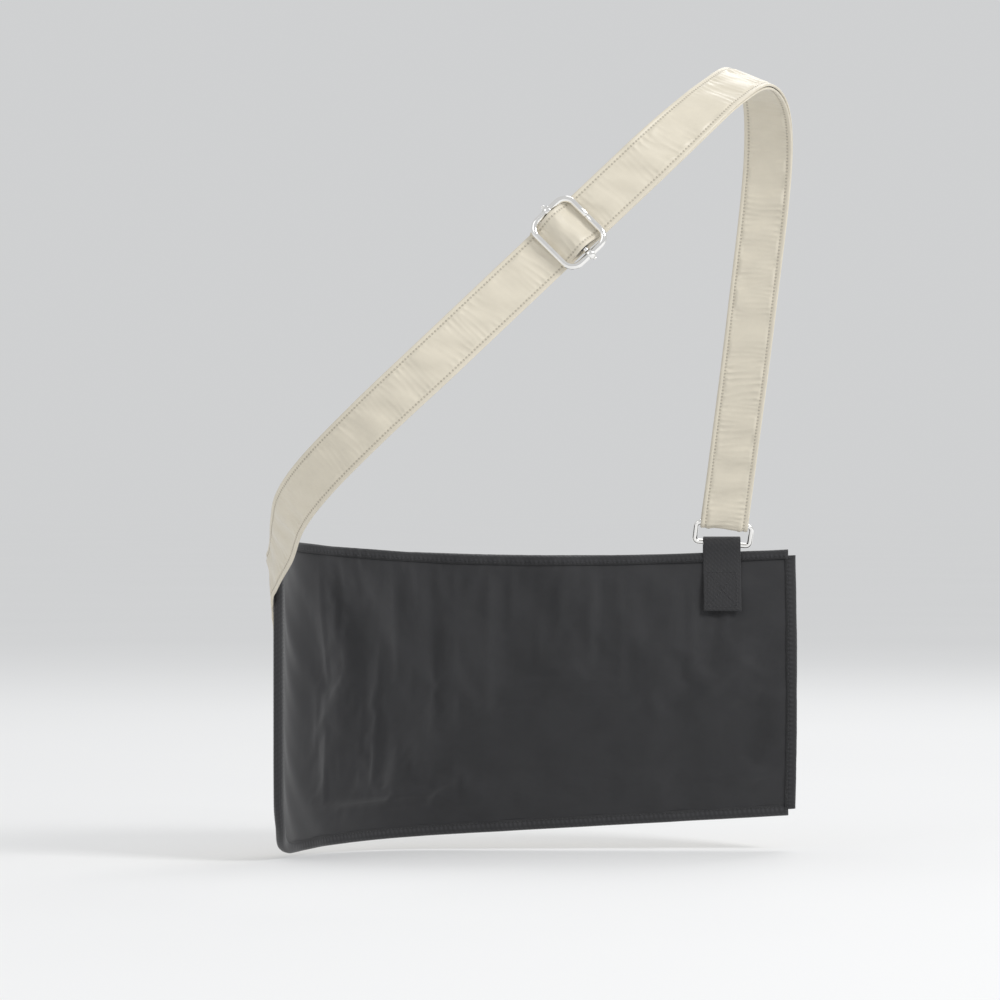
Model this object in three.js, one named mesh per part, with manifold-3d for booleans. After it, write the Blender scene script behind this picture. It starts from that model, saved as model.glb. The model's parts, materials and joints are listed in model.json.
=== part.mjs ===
// Arm sling: a satin-faced shoulder strap with a movable-bar slider, and a two-panel forearm pouch.
// Millimetres, +Z up. The wearer faces -Y, so +X is the wearer's left.
// The origin is where the strap rests on top of the wearer's right shoulder.
import * as THREE from "three";
import { mergeVertices } from "three/addons/utils/BufferGeometryUtils.js";
import Module from "manifold-3d";

const wasm = await Module();
wasm.setup();

// ---------- Driving dimensions ----------
const STRAP_WIDTH = 31.75;
const WEBBING_THICKNESS = 1.0;
const SATIN_THICKNESS = 0.5;
const LAMINATE_GAP = 0.1;
const LAYER_GAP = 0.4;
const SATIN_INSET = 0.2;
const STRAP_STEP = 9;
const RUN_GAP = 0.3;
const CREST_TO_CHEST = 60;
const RING_SPREAD_LENGTH = 34;
const CLEARANCE = 0.3;
const TOUCH_MARGIN = 0.05;
const TURN_END_ANGLE = 0.04;

const SLIDER_WIRE_RADIUS = 2.05;
const SLIDER_HALF_LENGTH = 15.7;
const SLIDER_HALF_WIDTH = 19.3;
const SLIDER_CORNER_RADIUS = 7.5;
const SLIDER_SEAM_GAP = 0.3;
const SLIDER_FROM_ZONE_TOP = 73.7;
const SLIDER_SIDE_OFFSET = 0.6;
const BAR_RADIUS = 1.5;
const BAR_EYE_THICKNESS = 1.1;
const BAR_EYE_HALF_WIDTH = 1.8;
const BAR_EYE_PLAY = 0.15;
const LOOP_THICKNESS = 0.9;
const LOOP_HALF_WIDTH = 14.9;
const CROSSING_WIDTH = 31.5;
const CROSSING_TONGUE_THICKNESS = 0.5;
const CROSSING_TONGUE_END = 16.2;
const CROSSING_FLANK_FOOT = 9.2;
const CROSSING_FLANK_THICKENING = 1.1;
const TAIL_LENGTH = 26;
const TAIL_BEFORE_BAR = 2;
const TAIL_TACK_FROM = 14;
const TAIL_TACK_TO = 17;
const TACK_EDGE_MARGIN = 4;
const SLIDER_UPWARD_TRAVEL = 42;
const TRAVEL_MARGIN = 2;

const RING_WIRE_RADIUS = 1.75;
const RING_BAR_SPACING = 14;
const RING_HALF_WIDTH = 18.6;
const RING_CORNER_RADIUS = 2.4;
const TAB_WIDTH = 25;
const TAB_THICKNESS = 1.0;
const TAB_LOOP_PLAY = 1.9;
const TAB_LEG_LENGTH = 40;
const TAB_LEG_BELOW_RING = 5;
const TAB_LEG_CLEARANCE = 1.0;

const POUCH_FRONT_Y = -167;
const POUCH_HAND_X = -36;
const POUCH_SIDE_X = 300;
const POUCH_BEND_RADIUS = 110;
const POUCH_ELBOW_STRAIGHT = 20;
const POUCH_ELBOW_TOP_Z = -295;
const POUCH_HAND_TOP_Z = -306;
const POUCH_TOP_DIP = 9;
const POUCH_ELBOW_BOTTOM_Z = -495;
const POUCH_HAND_BOTTOM_Z = -472;
const POUCH_ELBOW_CORNER_RADIUS = 62;
const POUCH_SEAM_HALF_THICKNESS = 2.6;
const POUCH_FRONT_BULGE = 30;
const POUCH_BACK_BULGE = 17;
const POUCH_MOUTH_SHARE = 0.8;
const POUCH_FULL_FROM = 32;
const POUCH_FULL_TO = 130;
const POUCH_MOUTH_FROM = 40;
const POUCH_MOUTH_TO = 150;
const POUCH_HAND_CLOSED_LENGTH = 74;
const POUCH_HAND_TAPER = 90;
const OUTER_FABRIC = 1.2;
const LINING_FABRIC = 0.7;
const BINDING_HEIGHT = 6;
const BINDING_THICKNESS = 3.0;
const BINDING_GAP = 0.7;
const ELBOW_PATCH_TOP_Z = -318;
const ELBOW_PATCH_LENGTH = 38;
const ELBOW_PATCH_START = 2;
const ELBOW_PATCH_SLOPE = 0.36;
const ELBOW_TACK_FROM = 27;
const ELBOW_TACK_TO = 32;
const THREAD_THICKNESS = 0.5;

// ---------- Materials ----------
const SATIN_COLOUR = 0xd8cfbd;
const WEBBING_COLOUR = 0x17171a;
const LINING_COLOUR = 0x2a2a2d;
const METAL_COLOUR = 0xd9d7d2;
const THREAD_COLOUR = 0xb8ae9b;

function fabric(colour) {
  return new THREE.MeshStandardMaterial({ color: colour, roughness: 0.75, metalness: 0 });
}

function satin() {
  return new THREE.MeshStandardMaterial({ color: SATIN_COLOUR, roughness: 0.4, metalness: 0 });
}

function polishedMetal() {
  return new THREE.MeshStandardMaterial({ color: METAL_COLOUR, roughness: 0.15, metalness: 1 });
}

// ---------- Shared geometry helpers ----------
const vector = (x, y, z) => new THREE.Vector3(x, y, z);
const smoothstep = (low, high, x) => THREE.MathUtils.smoothstep(x, low, high);

// A closed geometry from points and triangles, turned so that its faces point out.
function closedGeometry(points, triangles) {
  let volume = 0;
  for (const [a, b, c] of triangles) {
    volume += points[a].dot(points[b].clone().cross(points[c]));
  }
  const facing = volume < 0 ? triangles.map(([a, b, c]) => [a, c, b]) : triangles;
  const geometry = new THREE.BufferGeometry().setFromPoints(points);
  geometry.setIndex(facing.flat());
  return geometry;
}

// A solid over a grid of rows, whose two faces lie at heights low and high along each point's normal.
function gridSolid(rows, low, high) {
  const rowCount = rows.length;
  const columnCount = rows[0].length;
  const lift = (height) =>
    rows.flat().map((node) => node.point.clone().addScaledVector(node.normal, height));
  const points = [...lift(low), ...lift(high)];
  const upper = rowCount * columnCount;
  const at = (row, column) => row * columnCount + column;
  const triangles = [];
  const quad = (a, b, c, d) => triangles.push([a, b, c], [a, c, d]);
  // Both faces split each cell along the same diagonal, so stacked layers stay parallel where they twist.
  for (let row = 0; row < rowCount - 1; row++) {
    for (let column = 0; column < columnCount - 1; column++) {
      const [a, b] = [at(row, column), at(row, column + 1)];
      const [d, c] = [at(row + 1, column), at(row + 1, column + 1)];
      quad(a, b, c, d);
      quad(a + upper, d + upper, c + upper, b + upper);
    }
  }
  const border = [];
  for (let column = 0; column < columnCount - 1; column++) border.push(at(0, column));
  for (let row = 0; row < rowCount - 1; row++) border.push(at(row, columnCount - 1));
  for (let column = columnCount - 1; column > 0; column--) border.push(at(rowCount - 1, column));
  for (let row = rowCount - 1; row > 0; row--) border.push(at(row, 0));
  border.forEach((start, index) => {
    const next = border[(index + 1) % border.length];
    quad(next, start, start + upper, next + upper);
  });
  return closedGeometry(points, triangles);
}

// A flat ribbon along frames of point, normal and width direction, between two heights along the normal.
function ribbon(frames, width, low, high) {
  const rows = frames.map((frame) =>
    [-width / 2, width / 2].map((offset) => ({
      point: frame.point.clone().addScaledVector(frame.across, offset),
      normal: frame.normal,
    })),
  );
  return gridSolid(rows, low, high);
}

// A rounded rectangle as a path of lines and arcs, starting in the middle of its upper end bar.
function roundedLoop(halfLength, halfWidth, radius, seamGap) {
  const path = new THREE.CurvePath();
  const innerWidth = halfWidth - radius;
  const innerLength = halfLength - radius;
  const corner = (x, y, from) => {
    const arc = new THREE.EllipseCurve(x, y, radius, radius, from, from + Math.PI / 2);
    const points = arc.getPoints(6).map((point) => vector(point.x, point.y, 0));
    for (let index = 1; index < points.length; index++) {
      path.add(new THREE.LineCurve3(points[index - 1], points[index]));
    }
    return points;
  };
  const line = (from, to) => path.add(new THREE.LineCurve3(vector(...from, 0), vector(...to, 0)));
  line([seamGap / 2, -halfLength], [innerWidth, -halfLength]);
  corner(innerWidth, -innerLength, -Math.PI / 2);
  line([halfWidth, -innerLength], [halfWidth, innerLength]);
  corner(innerWidth, innerLength, 0);
  line([innerWidth, halfLength], [-innerWidth, halfLength]);
  corner(-innerWidth, innerLength, Math.PI / 2);
  line([-halfWidth, innerLength], [-halfWidth, -innerLength]);
  corner(-innerWidth, -innerLength, Math.PI);
  line([-innerWidth, -halfLength], [-seamGap / 2, -halfLength]);
  return path;
}

function circleShape(radius, sides) {
  const shape = new THREE.Shape();
  for (let side = 0; side < sides; side++) {
    const angle = (2 * Math.PI * side) / sides;
    const method = side === 0 ? "moveTo" : "lineTo";
    shape[method](radius * Math.cos(angle), radius * Math.sin(angle));
  }
  shape.closePath();
  return shape;
}

function positionsOnly(geometry) {
  const plain = geometry.clone();
  plain.deleteAttribute("normal");
  plain.deleteAttribute("uv");
  return mergeVertices(plain, 1e-4);
}

function solidOf(geometry) {
  const merged = positionsOnly(geometry);
  return new wasm.Manifold(
    new wasm.Mesh({
      numProp: 3,
      vertProperties: merged.attributes.position.array,
      triVerts: new Uint32Array(merged.index.array),
    }),
  );
}

function geometryOf(solid) {
  const mesh = solid.getMesh();
  return new THREE.BufferGeometry()
    .setAttribute("position", new THREE.BufferAttribute(new Float32Array(mesh.vertProperties), 3))
    .setIndex(new THREE.BufferAttribute(new Uint32Array(mesh.triVerts), 1));
}

function named(name, geometry, material) {
  const mesh = new THREE.Mesh(geometry, material);
  mesh.name = name;
  return mesh;
}

// ---------- The strap's route ----------
const WEBBING_LOW = LAYER_GAP / 2;
const WEBBING_HIGH = WEBBING_LOW + WEBBING_THICKNESS;
const SATIN_LOW = WEBBING_HIGH + LAMINATE_GAP;
const SATIN_HIGH = SATIN_LOW + SATIN_THICKNESS;

// Each station is a point on the line between the strap's two layers, and the direction away from the body.
// The stretch between the two zone stations is straight, and the slider travels on it.
const ZONE_TOP = vector(61.8, 66, -50.9);
const ZONE_BOTTOM = vector(198.1, 88, -180.8);
const ZONE_OUT = vector(0.05, 0.98, 0.17);
const SHOULDER_OUT = vector(-0.41, 0, 0.91);
const SHOULDER_CREST = SHOULDER_OUT.clone().multiplyScalar(SATIN_HIGH);
const alongZone = (share) => ZONE_TOP.clone().lerp(ZONE_BOTTOM, share);

const STATIONS = [
  { point: vector(304, -33, -316), out: vector(0.98, 0.05, -0.1) },
  { point: vector(299.8, -15, -305.5), out: vector(0.96, 0.03, -0.24) },
  { point: vector(294.8, 6, -292.1), out: vector(0.86, 0.06, -0.48) },
  { point: vector(289, 32, -274.5), out: vector(0.78, 0.48, -0.36) },
  { point: vector(273.6, 60, -253.9), out: vector(0.58, 0.78, -0.18) },
  { point: vector(238.2, 82, -218.4), out: vector(0.26, 0.95, 0.08) },
  { point: alongZone(1), out: ZONE_OUT },
  { point: alongZone(0.92), out: ZONE_OUT },
  { point: alongZone(0.08), out: ZONE_OUT },
  { point: alongZone(0), out: ZONE_OUT },
  { point: vector(37.1, 52, -27.6), out: vector(0, 0.83, 0.5) },
  { point: vector(18, 31, -10.4), out: vector(-0.14, 0.55, 0.8) },
  { point: SHOULDER_CREST, out: SHOULDER_OUT },
  { point: vector(-13, -33, -9), out: vector(-0.42, -0.5, 0.75) },
  { point: vector(-17, -62, -42), out: vector(-0.22, -0.85, 0.46) },
  { point: vector(-8, -105, -147), out: vector(-0.04, -0.92, 0.38) },
  { point: vector(2, -143, -239), out: vector(0, -0.92, 0.38) },
  { point: vector(7, -161, -283), out: vector(0, -0.92, 0.38) },
];
const routeCurve = new THREE.CatmullRomCurve3(
  STATIONS.map((station) => station.point),
  false,
  "centripetal",
);
const outCurve = new THREE.CatmullRomCurve3(
  STATIONS.map((station) => station.out),
  false,
  "catmullrom",
);
routeCurve.arcLengthDivisions = 2000;
const ROUTE_LENGTH = routeCurve.getLength();

function frameOf(point, tangent, outward) {
  const normal = outward.clone().addScaledVector(tangent, -outward.dot(tangent)).normalize();
  return { point, normal, tangent, across: tangent.clone().cross(normal).normalize() };
}

function frameAt(distance) {
  const t = routeCurve.getUtoTmapping(distance / ROUTE_LENGTH);
  return frameOf(routeCurve.getPoint(t), routeCurve.getTangent(t).normalize(), outCurve.getPoint(t));
}

// The distance along the route of the point nearest to a given one.
function distanceTo(target) {
  const steps = 4000;
  let best = 0;
  let nearest = Infinity;
  for (let step = 0; step <= steps; step++) {
    const distance = (ROUTE_LENGTH * step) / steps;
    const gap = routeCurve.getPointAt(step / steps).distanceTo(target);
    if (gap < nearest) {
      nearest = gap;
      best = distance;
    }
  }
  return best;
}

const RING_SPREAD = RING_WIRE_RADIUS + CLEARANCE - LAYER_GAP / 2;
const spreadAt = (distance) =>
  RING_SPREAD * smoothstep(ROUTE_LENGTH - RING_SPREAD_LENGTH, ROUTE_LENGTH, distance);

// Where one run of the strap ends and the next begins, as distances along the route.
const zoneTopDistance = distanceTo(ZONE_TOP);
const sliderDistance = zoneTopDistance - SLIDER_FROM_ZONE_TOP;
const underStart = sliderDistance + TAIL_LENGTH + SLIDER_UPWARD_TRAVEL + TRAVEL_MARGIN;
const chestDistance = distanceTo(SHOULDER_CREST) + CREST_TO_CHEST;
const RUN_BREAKS = [underStart, zoneTopDistance, chestDistance];

// Stations along the route, shared by both layers so that their facets stay parallel.
const stationCount = Math.ceil(ROUTE_LENGTH / STRAP_STEP);
const gridStations = Array.from({ length: stationCount }, (_, index) => index * STRAP_STEP);
const clearOfBreaks = (distance) => RUN_BREAKS.every((other) => Math.abs(other - distance) > 1.5);
const SHARED_STATIONS = [...gridStations.filter(clearOfBreaks), ...RUN_BREAKS].sort((a, b) => a - b);

// Frames of one layer between two distances; side is 1 for the outer layer and -1 for the under layer.
function layerFrames(from, to, side) {
  const between = SHARED_STATIONS.filter((distance) => distance - from > 1 && to - distance > 1);
  return [from, ...between, to].map((distance) => {
    const frame = frameAt(distance);
    const normal = frame.normal.clone().multiplyScalar(side);
    const point = frame.point.clone().addScaledVector(normal, spreadAt(distance));
    return { point, normal, across: frame.across };
  });
}

function webbing(name, frames) {
  return named(name, ribbon(frames, STRAP_WIDTH, WEBBING_LOW, WEBBING_HIGH), fabric(WEBBING_COLOUR));
}

function facing(name, frames) {
  return named(name, ribbon(frames, STRAP_WIDTH - 2 * SATIN_INSET, SATIN_LOW, SATIN_HIGH), satin());
}

function strapRun(name, frames) {
  return [webbing("webbing_" + name, frames), facing("satin_" + name, frames)];
}

function strapBody() {
  const turnCentre = frameAt(ROUTE_LENGTH);
  const turnSteps = 8;
  const turnFrames = Array.from({ length: turnSteps + 1 }, (_, step) => {
    const angle = THREE.MathUtils.lerp(TURN_END_ANGLE, Math.PI - TURN_END_ANGLE, step / turnSteps);
    const normal = turnCentre.normal
      .clone()
      .multiplyScalar(Math.cos(angle))
      .addScaledVector(turnCentre.tangent, Math.sin(angle));
    const point = turnCentre.point.clone().addScaledVector(normal, RING_SPREAD);
    return { point, normal, across: turnCentre.across };
  });
  const chest = chestDistance + RUN_GAP;
  return [
    ...strapRun("back_run", layerFrames(0, zoneTopDistance, 1)),
    ...strapRun("shoulder_outer_run", layerFrames(zoneTopDistance + RUN_GAP, chestDistance, 1)),
    ...strapRun("front_outer_run", layerFrames(chest, ROUTE_LENGTH, 1)),
    ...strapRun("ring_turn", turnFrames),
    ...strapRun("front_under_run", layerFrames(chest, ROUTE_LENGTH, -1)),
    ...strapRun("shoulder_under_run", layerFrames(underStart, chestDistance, -1)),
  ];
}

// ---------- Slider ----------
// In the slider's own frame X runs across the strap, Y down the strap and Z away from the body.
// Its Z = 0 is the strap's outer satin face.
const FRAME_PLANE = SLIDER_WIRE_RADIUS + 2 * CLEARANCE + CROSSING_TONGUE_THICKNESS + TOUCH_MARGIN;

function sliderGroup() {
  const frame = frameAt(sliderDistance);
  const down = frame.tangent.clone().negate();
  const across = down.clone().cross(frame.normal);
  const group = new THREE.Group();
  group.quaternion.setFromRotationMatrix(new THREE.Matrix4().makeBasis(across, down, frame.normal));
  group.position.copy(frame.point).addScaledVector(frame.normal, SATIN_HIGH);
  group.position.addScaledVector(across, -SLIDER_SIDE_OFFSET);
  group.add(sliderFrame(), centreBar(), barLoop(), crossing());
  return group;
}

function sliderFrame() {
  const path = roundedLoop(SLIDER_HALF_LENGTH, SLIDER_HALF_WIDTH, SLIDER_CORNER_RADIUS, SLIDER_SEAM_GAP);
  const options = { steps: 72, extrudePath: path };
  const geometry = new THREE.ExtrudeGeometry(circleShape(SLIDER_WIRE_RADIUS, 10), options);
  const mesh = named("slider_frame", geometry, polishedMetal());
  mesh.position.z = FRAME_PLANE;
  return mesh;
}

// The centre bar: a rod whose two curled ends wrap the frame's long sides.
function centreBar() {
  const eyeInner = SLIDER_WIRE_RADIUS + BAR_EYE_PLAY;
  const eyeOuter = eyeInner + BAR_EYE_THICKNESS;
  const profile = [
    new THREE.Vector2(eyeInner, -BAR_EYE_HALF_WIDTH),
    new THREE.Vector2(eyeOuter, -BAR_EYE_HALF_WIDTH),
    new THREE.Vector2(eyeOuter, BAR_EYE_HALF_WIDTH),
    new THREE.Vector2(eyeInner, BAR_EYE_HALF_WIDTH),
    new THREE.Vector2(eyeInner, -BAR_EYE_HALF_WIDTH),
  ];
  const length = 2 * (SLIDER_HALF_WIDTH - (eyeInner + eyeOuter) / 2);
  const rod = new THREE.CylinderGeometry(BAR_RADIUS, BAR_RADIUS, length, 12).rotateZ(Math.PI / 2);
  let solid = solidOf(rod);
  for (const side of [-1, 1]) {
    const eye = new THREE.LatheGeometry(profile, 20);
    solid = solid.add(solidOf(eye.translate(side * SLIDER_HALF_WIDTH, 0, 0)));
  }
  const mesh = named("slider_centre_bar", geometryOf(solid), polishedMetal());
  mesh.position.z = FRAME_PLANE;
  return mesh;
}

// The strap's sewn end, folded round the centre bar.
function barLoop() {
  const inner = BAR_RADIUS + CLEARANCE;
  const shape = circleShape(inner + LOOP_THICKNESS, 16);
  shape.holes.push(circleShape(inner, 16));
  const geometry = new THREE.ExtrudeGeometry(shape, { depth: 2 * LOOP_HALF_WIDTH, bevelEnabled: false });
  geometry.translate(0, 0, -LOOP_HALF_WIDTH).rotateY(Math.PI / 2);
  const mesh = named("strap_end_loop", geometry, fabric(WEBBING_COLOUR));
  mesh.position.z = FRAME_PLANE;
  return mesh;
}

// The strap where it climbs over the centre bar and tucks under both end bars.
function crossing() {
  const innerRadius = BAR_RADIUS + 2 * CLEARANCE + LOOP_THICKNESS + TOUCH_MARGIN;
  const outerRadius = innerRadius + LOOP_THICKNESS;
  // Angle at which a straight flank from its foot touches the dome.
  const touch = (radius, footX, footZ) => {
    const rise = FRAME_PLANE - footZ;
    return Math.PI / 2 - Math.atan2(rise, footX) - Math.asin(radius / Math.hypot(footX, rise));
  };
  const low = CLEARANCE;
  const high = CLEARANCE + CROSSING_TONGUE_THICKNESS;
  const outerFoot = CROSSING_FLANK_FOOT + CROSSING_FLANK_THICKENING;
  const innerTouch = touch(innerRadius, CROSSING_FLANK_FOOT, low);
  const outerTouch = touch(outerRadius, outerFoot, high);
  const shape = new THREE.Shape();
  shape.moveTo(CROSSING_TONGUE_END, low);
  shape.lineTo(CROSSING_FLANK_FOOT, low);
  shape.absarc(0, FRAME_PLANE, innerRadius, innerTouch, Math.PI - innerTouch, false);
  shape.lineTo(-CROSSING_FLANK_FOOT, low);
  shape.lineTo(-CROSSING_TONGUE_END, low);
  shape.lineTo(-CROSSING_TONGUE_END, high);
  shape.lineTo(-outerFoot, high);
  shape.absarc(0, FRAME_PLANE, outerRadius, Math.PI - outerTouch, outerTouch, true);
  shape.lineTo(outerFoot, high);
  shape.lineTo(CROSSING_TONGUE_END, high);
  shape.closePath();
  const options = { depth: CROSSING_WIDTH, bevelEnabled: false, curveSegments: 10 };
  const geometry = new THREE.ExtrudeGeometry(shape, options);
  // The section's first axis runs down the strap, its second away from the body.
  geometry.translate(0, 0, -CROSSING_WIDTH / 2);
  const toSliderFrame = new THREE.Matrix4().makeBasis(vector(0, 1, 0), vector(0, 0, 1), vector(1, 0, 0));
  geometry.applyMatrix4(toSliderFrame);
  const mesh = named("strap_bar_crossing", geometry, satin());
  mesh.position.x = SLIDER_SIDE_OFFSET;
  return mesh;
}

// The sewn end's tail, which runs back up the strap as the start of its under layer.
function strapTail() {
  const frames = layerFrames(sliderDistance - TAIL_BEFORE_BAR, sliderDistance + TAIL_LENGTH, -1);
  const tackFrames = layerFrames(sliderDistance + TAIL_TACK_FROM, sliderDistance + TAIL_TACK_TO, -1);
  const tackLow = SATIN_HIGH + LAMINATE_GAP;
  const tackWidth = STRAP_WIDTH - 2 * TACK_EDGE_MARGIN;
  const tack = ribbon(tackFrames, tackWidth, tackLow, tackLow + THREAD_THICKNESS);
  return [
    webbing("webbing_tail", frames),
    facing("satin_tail", frames),
    named("tail_bar_tack", tack, fabric(THREAD_COLOUR)),
  ];
}

// ---------- Ring at the hand end ----------
function handRing() {
  const frame = frameAt(ROUTE_LENGTH);
  const path = roundedLoop(RING_BAR_SPACING / 2, RING_HALF_WIDTH, RING_CORNER_RADIUS, 0);
  const points = path.getSpacedPoints(72).slice(0, -1);
  const loop = new THREE.CatmullRomCurve3(points, true, "catmullrom", 0.5);
  const geometry = new THREE.TubeGeometry(loop, 72, RING_WIRE_RADIUS, 8, true);
  const mesh = named("hand_ring", geometry, polishedMetal());
  const across = frame.tangent.clone().cross(frame.normal);
  const basis = new THREE.Matrix4().makeBasis(across, frame.tangent, frame.normal.clone());
  if (basis.determinant() < 0) basis.makeBasis(across.negate(), frame.tangent, frame.normal);
  mesh.quaternion.setFromRotationMatrix(basis);
  mesh.position.copy(frame.point).addScaledVector(frame.tangent, RING_BAR_SPACING / 2);
  return mesh;
}

// ---------- Pouch ----------
// The pouch's middle surface follows a level guide line: along the front, round the left side, to the elbow.
const frontStraight = POUCH_SIDE_X - POUCH_BEND_RADIUS - POUCH_HAND_X;
const bendLength = (Math.PI / 2) * POUCH_BEND_RADIUS;
const POUCH_LENGTH = POUCH_ELBOW_STRAIGHT + bendLength + frontStraight;

// Point and outward direction of the guide line at a distance from the elbow end.
function guideAt(distance) {
  const bendCentre = { x: POUCH_SIDE_X - POUCH_BEND_RADIUS, y: POUCH_FRONT_Y + POUCH_BEND_RADIUS };
  if (distance < POUCH_ELBOW_STRAIGHT) {
    const y = bendCentre.y + POUCH_ELBOW_STRAIGHT - distance;
    return { x: POUCH_SIDE_X, y, out: vector(1, 0, 0) };
  }
  const turned = (distance - POUCH_ELBOW_STRAIGHT) / POUCH_BEND_RADIUS;
  if (turned < Math.PI / 2) {
    const out = vector(Math.cos(turned), -Math.sin(turned), 0);
    return {
      x: bendCentre.x + POUCH_BEND_RADIUS * out.x,
      y: bendCentre.y + POUCH_BEND_RADIUS * out.y,
      out,
    };
  }
  const past = distance - POUCH_ELBOW_STRAIGHT - bendLength;
  return { x: bendCentre.x - past, y: POUCH_FRONT_Y, out: vector(0, -1, 0) };
}

function topZ(distance) {
  const share = distance / POUCH_LENGTH;
  const dip = POUCH_TOP_DIP * Math.sin(Math.PI * share);
  return THREE.MathUtils.lerp(POUCH_ELBOW_TOP_Z, POUCH_HAND_TOP_Z, share) - dip;
}

function bottomZ(distance) {
  const share = distance / POUCH_LENGTH;
  const radius = POUCH_ELBOW_CORNER_RADIUS;
  const inCorner = Math.max(0, radius - distance);
  const corner = radius - Math.sqrt(radius * radius - inCorner * inCorner);
  return THREE.MathUtils.lerp(POUCH_ELBOW_BOTTOM_Z, POUCH_HAND_BOTTOM_Z, share) + corner;
}

// How far the panels stand apart, from 0 at a seam to 1 where the pouch is fullest.
function fullness(distance, rise) {
  const fromElbow = smoothstep(POUCH_FULL_FROM, POUCH_FULL_TO, distance);
  const closedFrom = POUCH_LENGTH - POUCH_HAND_CLOSED_LENGTH;
  const opening = smoothstep(POUCH_MOUTH_FROM, POUCH_MOUTH_TO, distance);
  const closing = smoothstep(closedFrom - POUCH_HAND_TAPER, closedFrom, distance);
  const mouth = POUCH_MOUTH_SHARE * opening * (1 - closing);
  const upper = Math.max(0, 2 * rise - 1);
  const lower = Math.max(0, 1 - 2 * rise);
  const section = rise < 0.5 ? 1 - lower * lower : mouth + (1 - mouth) * (1 - upper * upper);
  return fromElbow * section;
}

// A point of one panel's outer face. side is 1 for the front panel and -1 for the panel against the body.
function panelPoint(distance, rise, side) {
  const guide = guideAt(distance);
  const bulge = side > 0 ? POUCH_FRONT_BULGE : POUCH_BACK_BULGE;
  const apart = POUCH_SEAM_HALF_THICKNESS + bulge * fullness(distance, rise);
  const z = THREE.MathUtils.lerp(bottomZ(distance), topZ(distance), rise);
  return vector(guide.x, guide.y, z).addScaledVector(guide.out, side * apart);
}

// A point of a panel with its outward normal.
function panelNode(distance, rise, side) {
  const step = 0.5;
  const riseStep = 0.004;
  const alongA = Math.max(0, distance - step);
  const alongB = Math.min(POUCH_LENGTH, distance + step);
  const riseA = Math.max(0, rise - riseStep);
  const riseB = Math.min(1, rise + riseStep);
  const along = panelPoint(alongB, rise, side).sub(panelPoint(alongA, rise, side));
  const up = panelPoint(distance, riseB, side).sub(panelPoint(distance, riseA, side));
  const normal = along.cross(up).normalize();
  if (normal.dot(guideAt(distance).out) * side < 0) normal.negate();
  return { point: panelPoint(distance, rise, side), normal };
}

const POUCH_COLUMNS = 26;
const POUCH_ROWS = 9;

// Distances along the pouch, closer together round the elbow's corner.
function pouchDistance(column) {
  const share = column / POUCH_COLUMNS;
  return POUCH_LENGTH * (0.55 * share + 0.45 * share * share);
}

function panelSolid(name, side, low, high, material) {
  const rows = Array.from({ length: POUCH_ROWS + 1 }, (_, row) =>
    Array.from({ length: POUCH_COLUMNS + 1 }, (_, column) =>
      panelNode(pouchDistance(column), row / POUCH_ROWS, side),
    ),
  );
  return named(name, gridSolid(rows, low, high), material);
}

const LINING_HIGH = -OUTER_FABRIC - LAMINATE_GAP;
const LINING_LOW = LINING_HIGH - LINING_FABRIC;

function panels() {
  return [
    panelSolid("pouch_front_panel", 1, -OUTER_FABRIC, 0, satin()),
    panelSolid("pouch_back_panel", -1, -OUTER_FABRIC, 0, fabric(WEBBING_COLOUR)),
    panelSolid("pouch_front_lining", 1, LINING_LOW, LINING_HIGH, fabric(LINING_COLOUR)),
    panelSolid("pouch_back_lining", -1, LINING_LOW, LINING_HIGH, fabric(LINING_COLOUR)),
  ];
}

// The middle of a panel's cloth below its outer face, and half the thickness of the tape round its edge.
const CLOTH_MIDDLE = LINING_LOW / 2;
const TAPE_HALF = Math.min(BINDING_THICKNESS / 2, POUCH_SEAM_HALF_THICKNESS + CLOTH_MIDDLE - LAMINATE_GAP);

// A folded tape along the top edge of one panel.
function topBinding(name, side) {
  const frames = Array.from({ length: POUCH_COLUMNS + 1 }, (_, column) => {
    const distance = pouchDistance(column);
    const edge = panelNode(distance, 1, side);
    const level = guideAt(distance).out.clone().multiplyScalar(side);
    const point = edge.point.clone().addScaledVector(level, CLOTH_MIDDLE);
    point.z += BINDING_GAP + BINDING_HEIGHT / 2;
    return { point, normal: level, across: vector(0, 0, 1) };
  });
  return named(name, ribbon(frames, BINDING_HEIGHT, -TAPE_HALF, TAPE_HALF), fabric(WEBBING_COLOUR));
}

// The tape that closes both panels along the bottom seam.
function bottomBinding() {
  const half = POUCH_SEAM_HALF_THICKNESS;
  const frames = Array.from({ length: POUCH_COLUMNS }, (_, index) => {
    const distance = pouchDistance(index + 1);
    const guide = guideAt(distance);
    const point = vector(guide.x, guide.y, bottomZ(distance) - BINDING_GAP - BINDING_HEIGHT / 2);
    return { point, normal: guide.out, across: vector(0, 0, 1) };
  });
  return named("pouch_bottom_binding", ribbon(frames, BINDING_HEIGHT, -half, half), fabric(WEBBING_COLOUR));
}

// The tape that closes both panels down the elbow end.
function elbowBinding() {
  const half = POUCH_SEAM_HALF_THICKNESS;
  const guide = guideAt(0);
  const y = guide.y + CLEARANCE + BINDING_HEIGHT / 2;
  const frames = [bottomZ(0), topZ(0)].map((z) => ({
    point: vector(guide.x, y, z),
    normal: guide.out,
    across: vector(0, 1, 0),
  }));
  return named("pouch_elbow_binding", ribbon(frames, BINDING_HEIGHT, -half, half), fabric(WEBBING_COLOUR));
}

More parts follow.
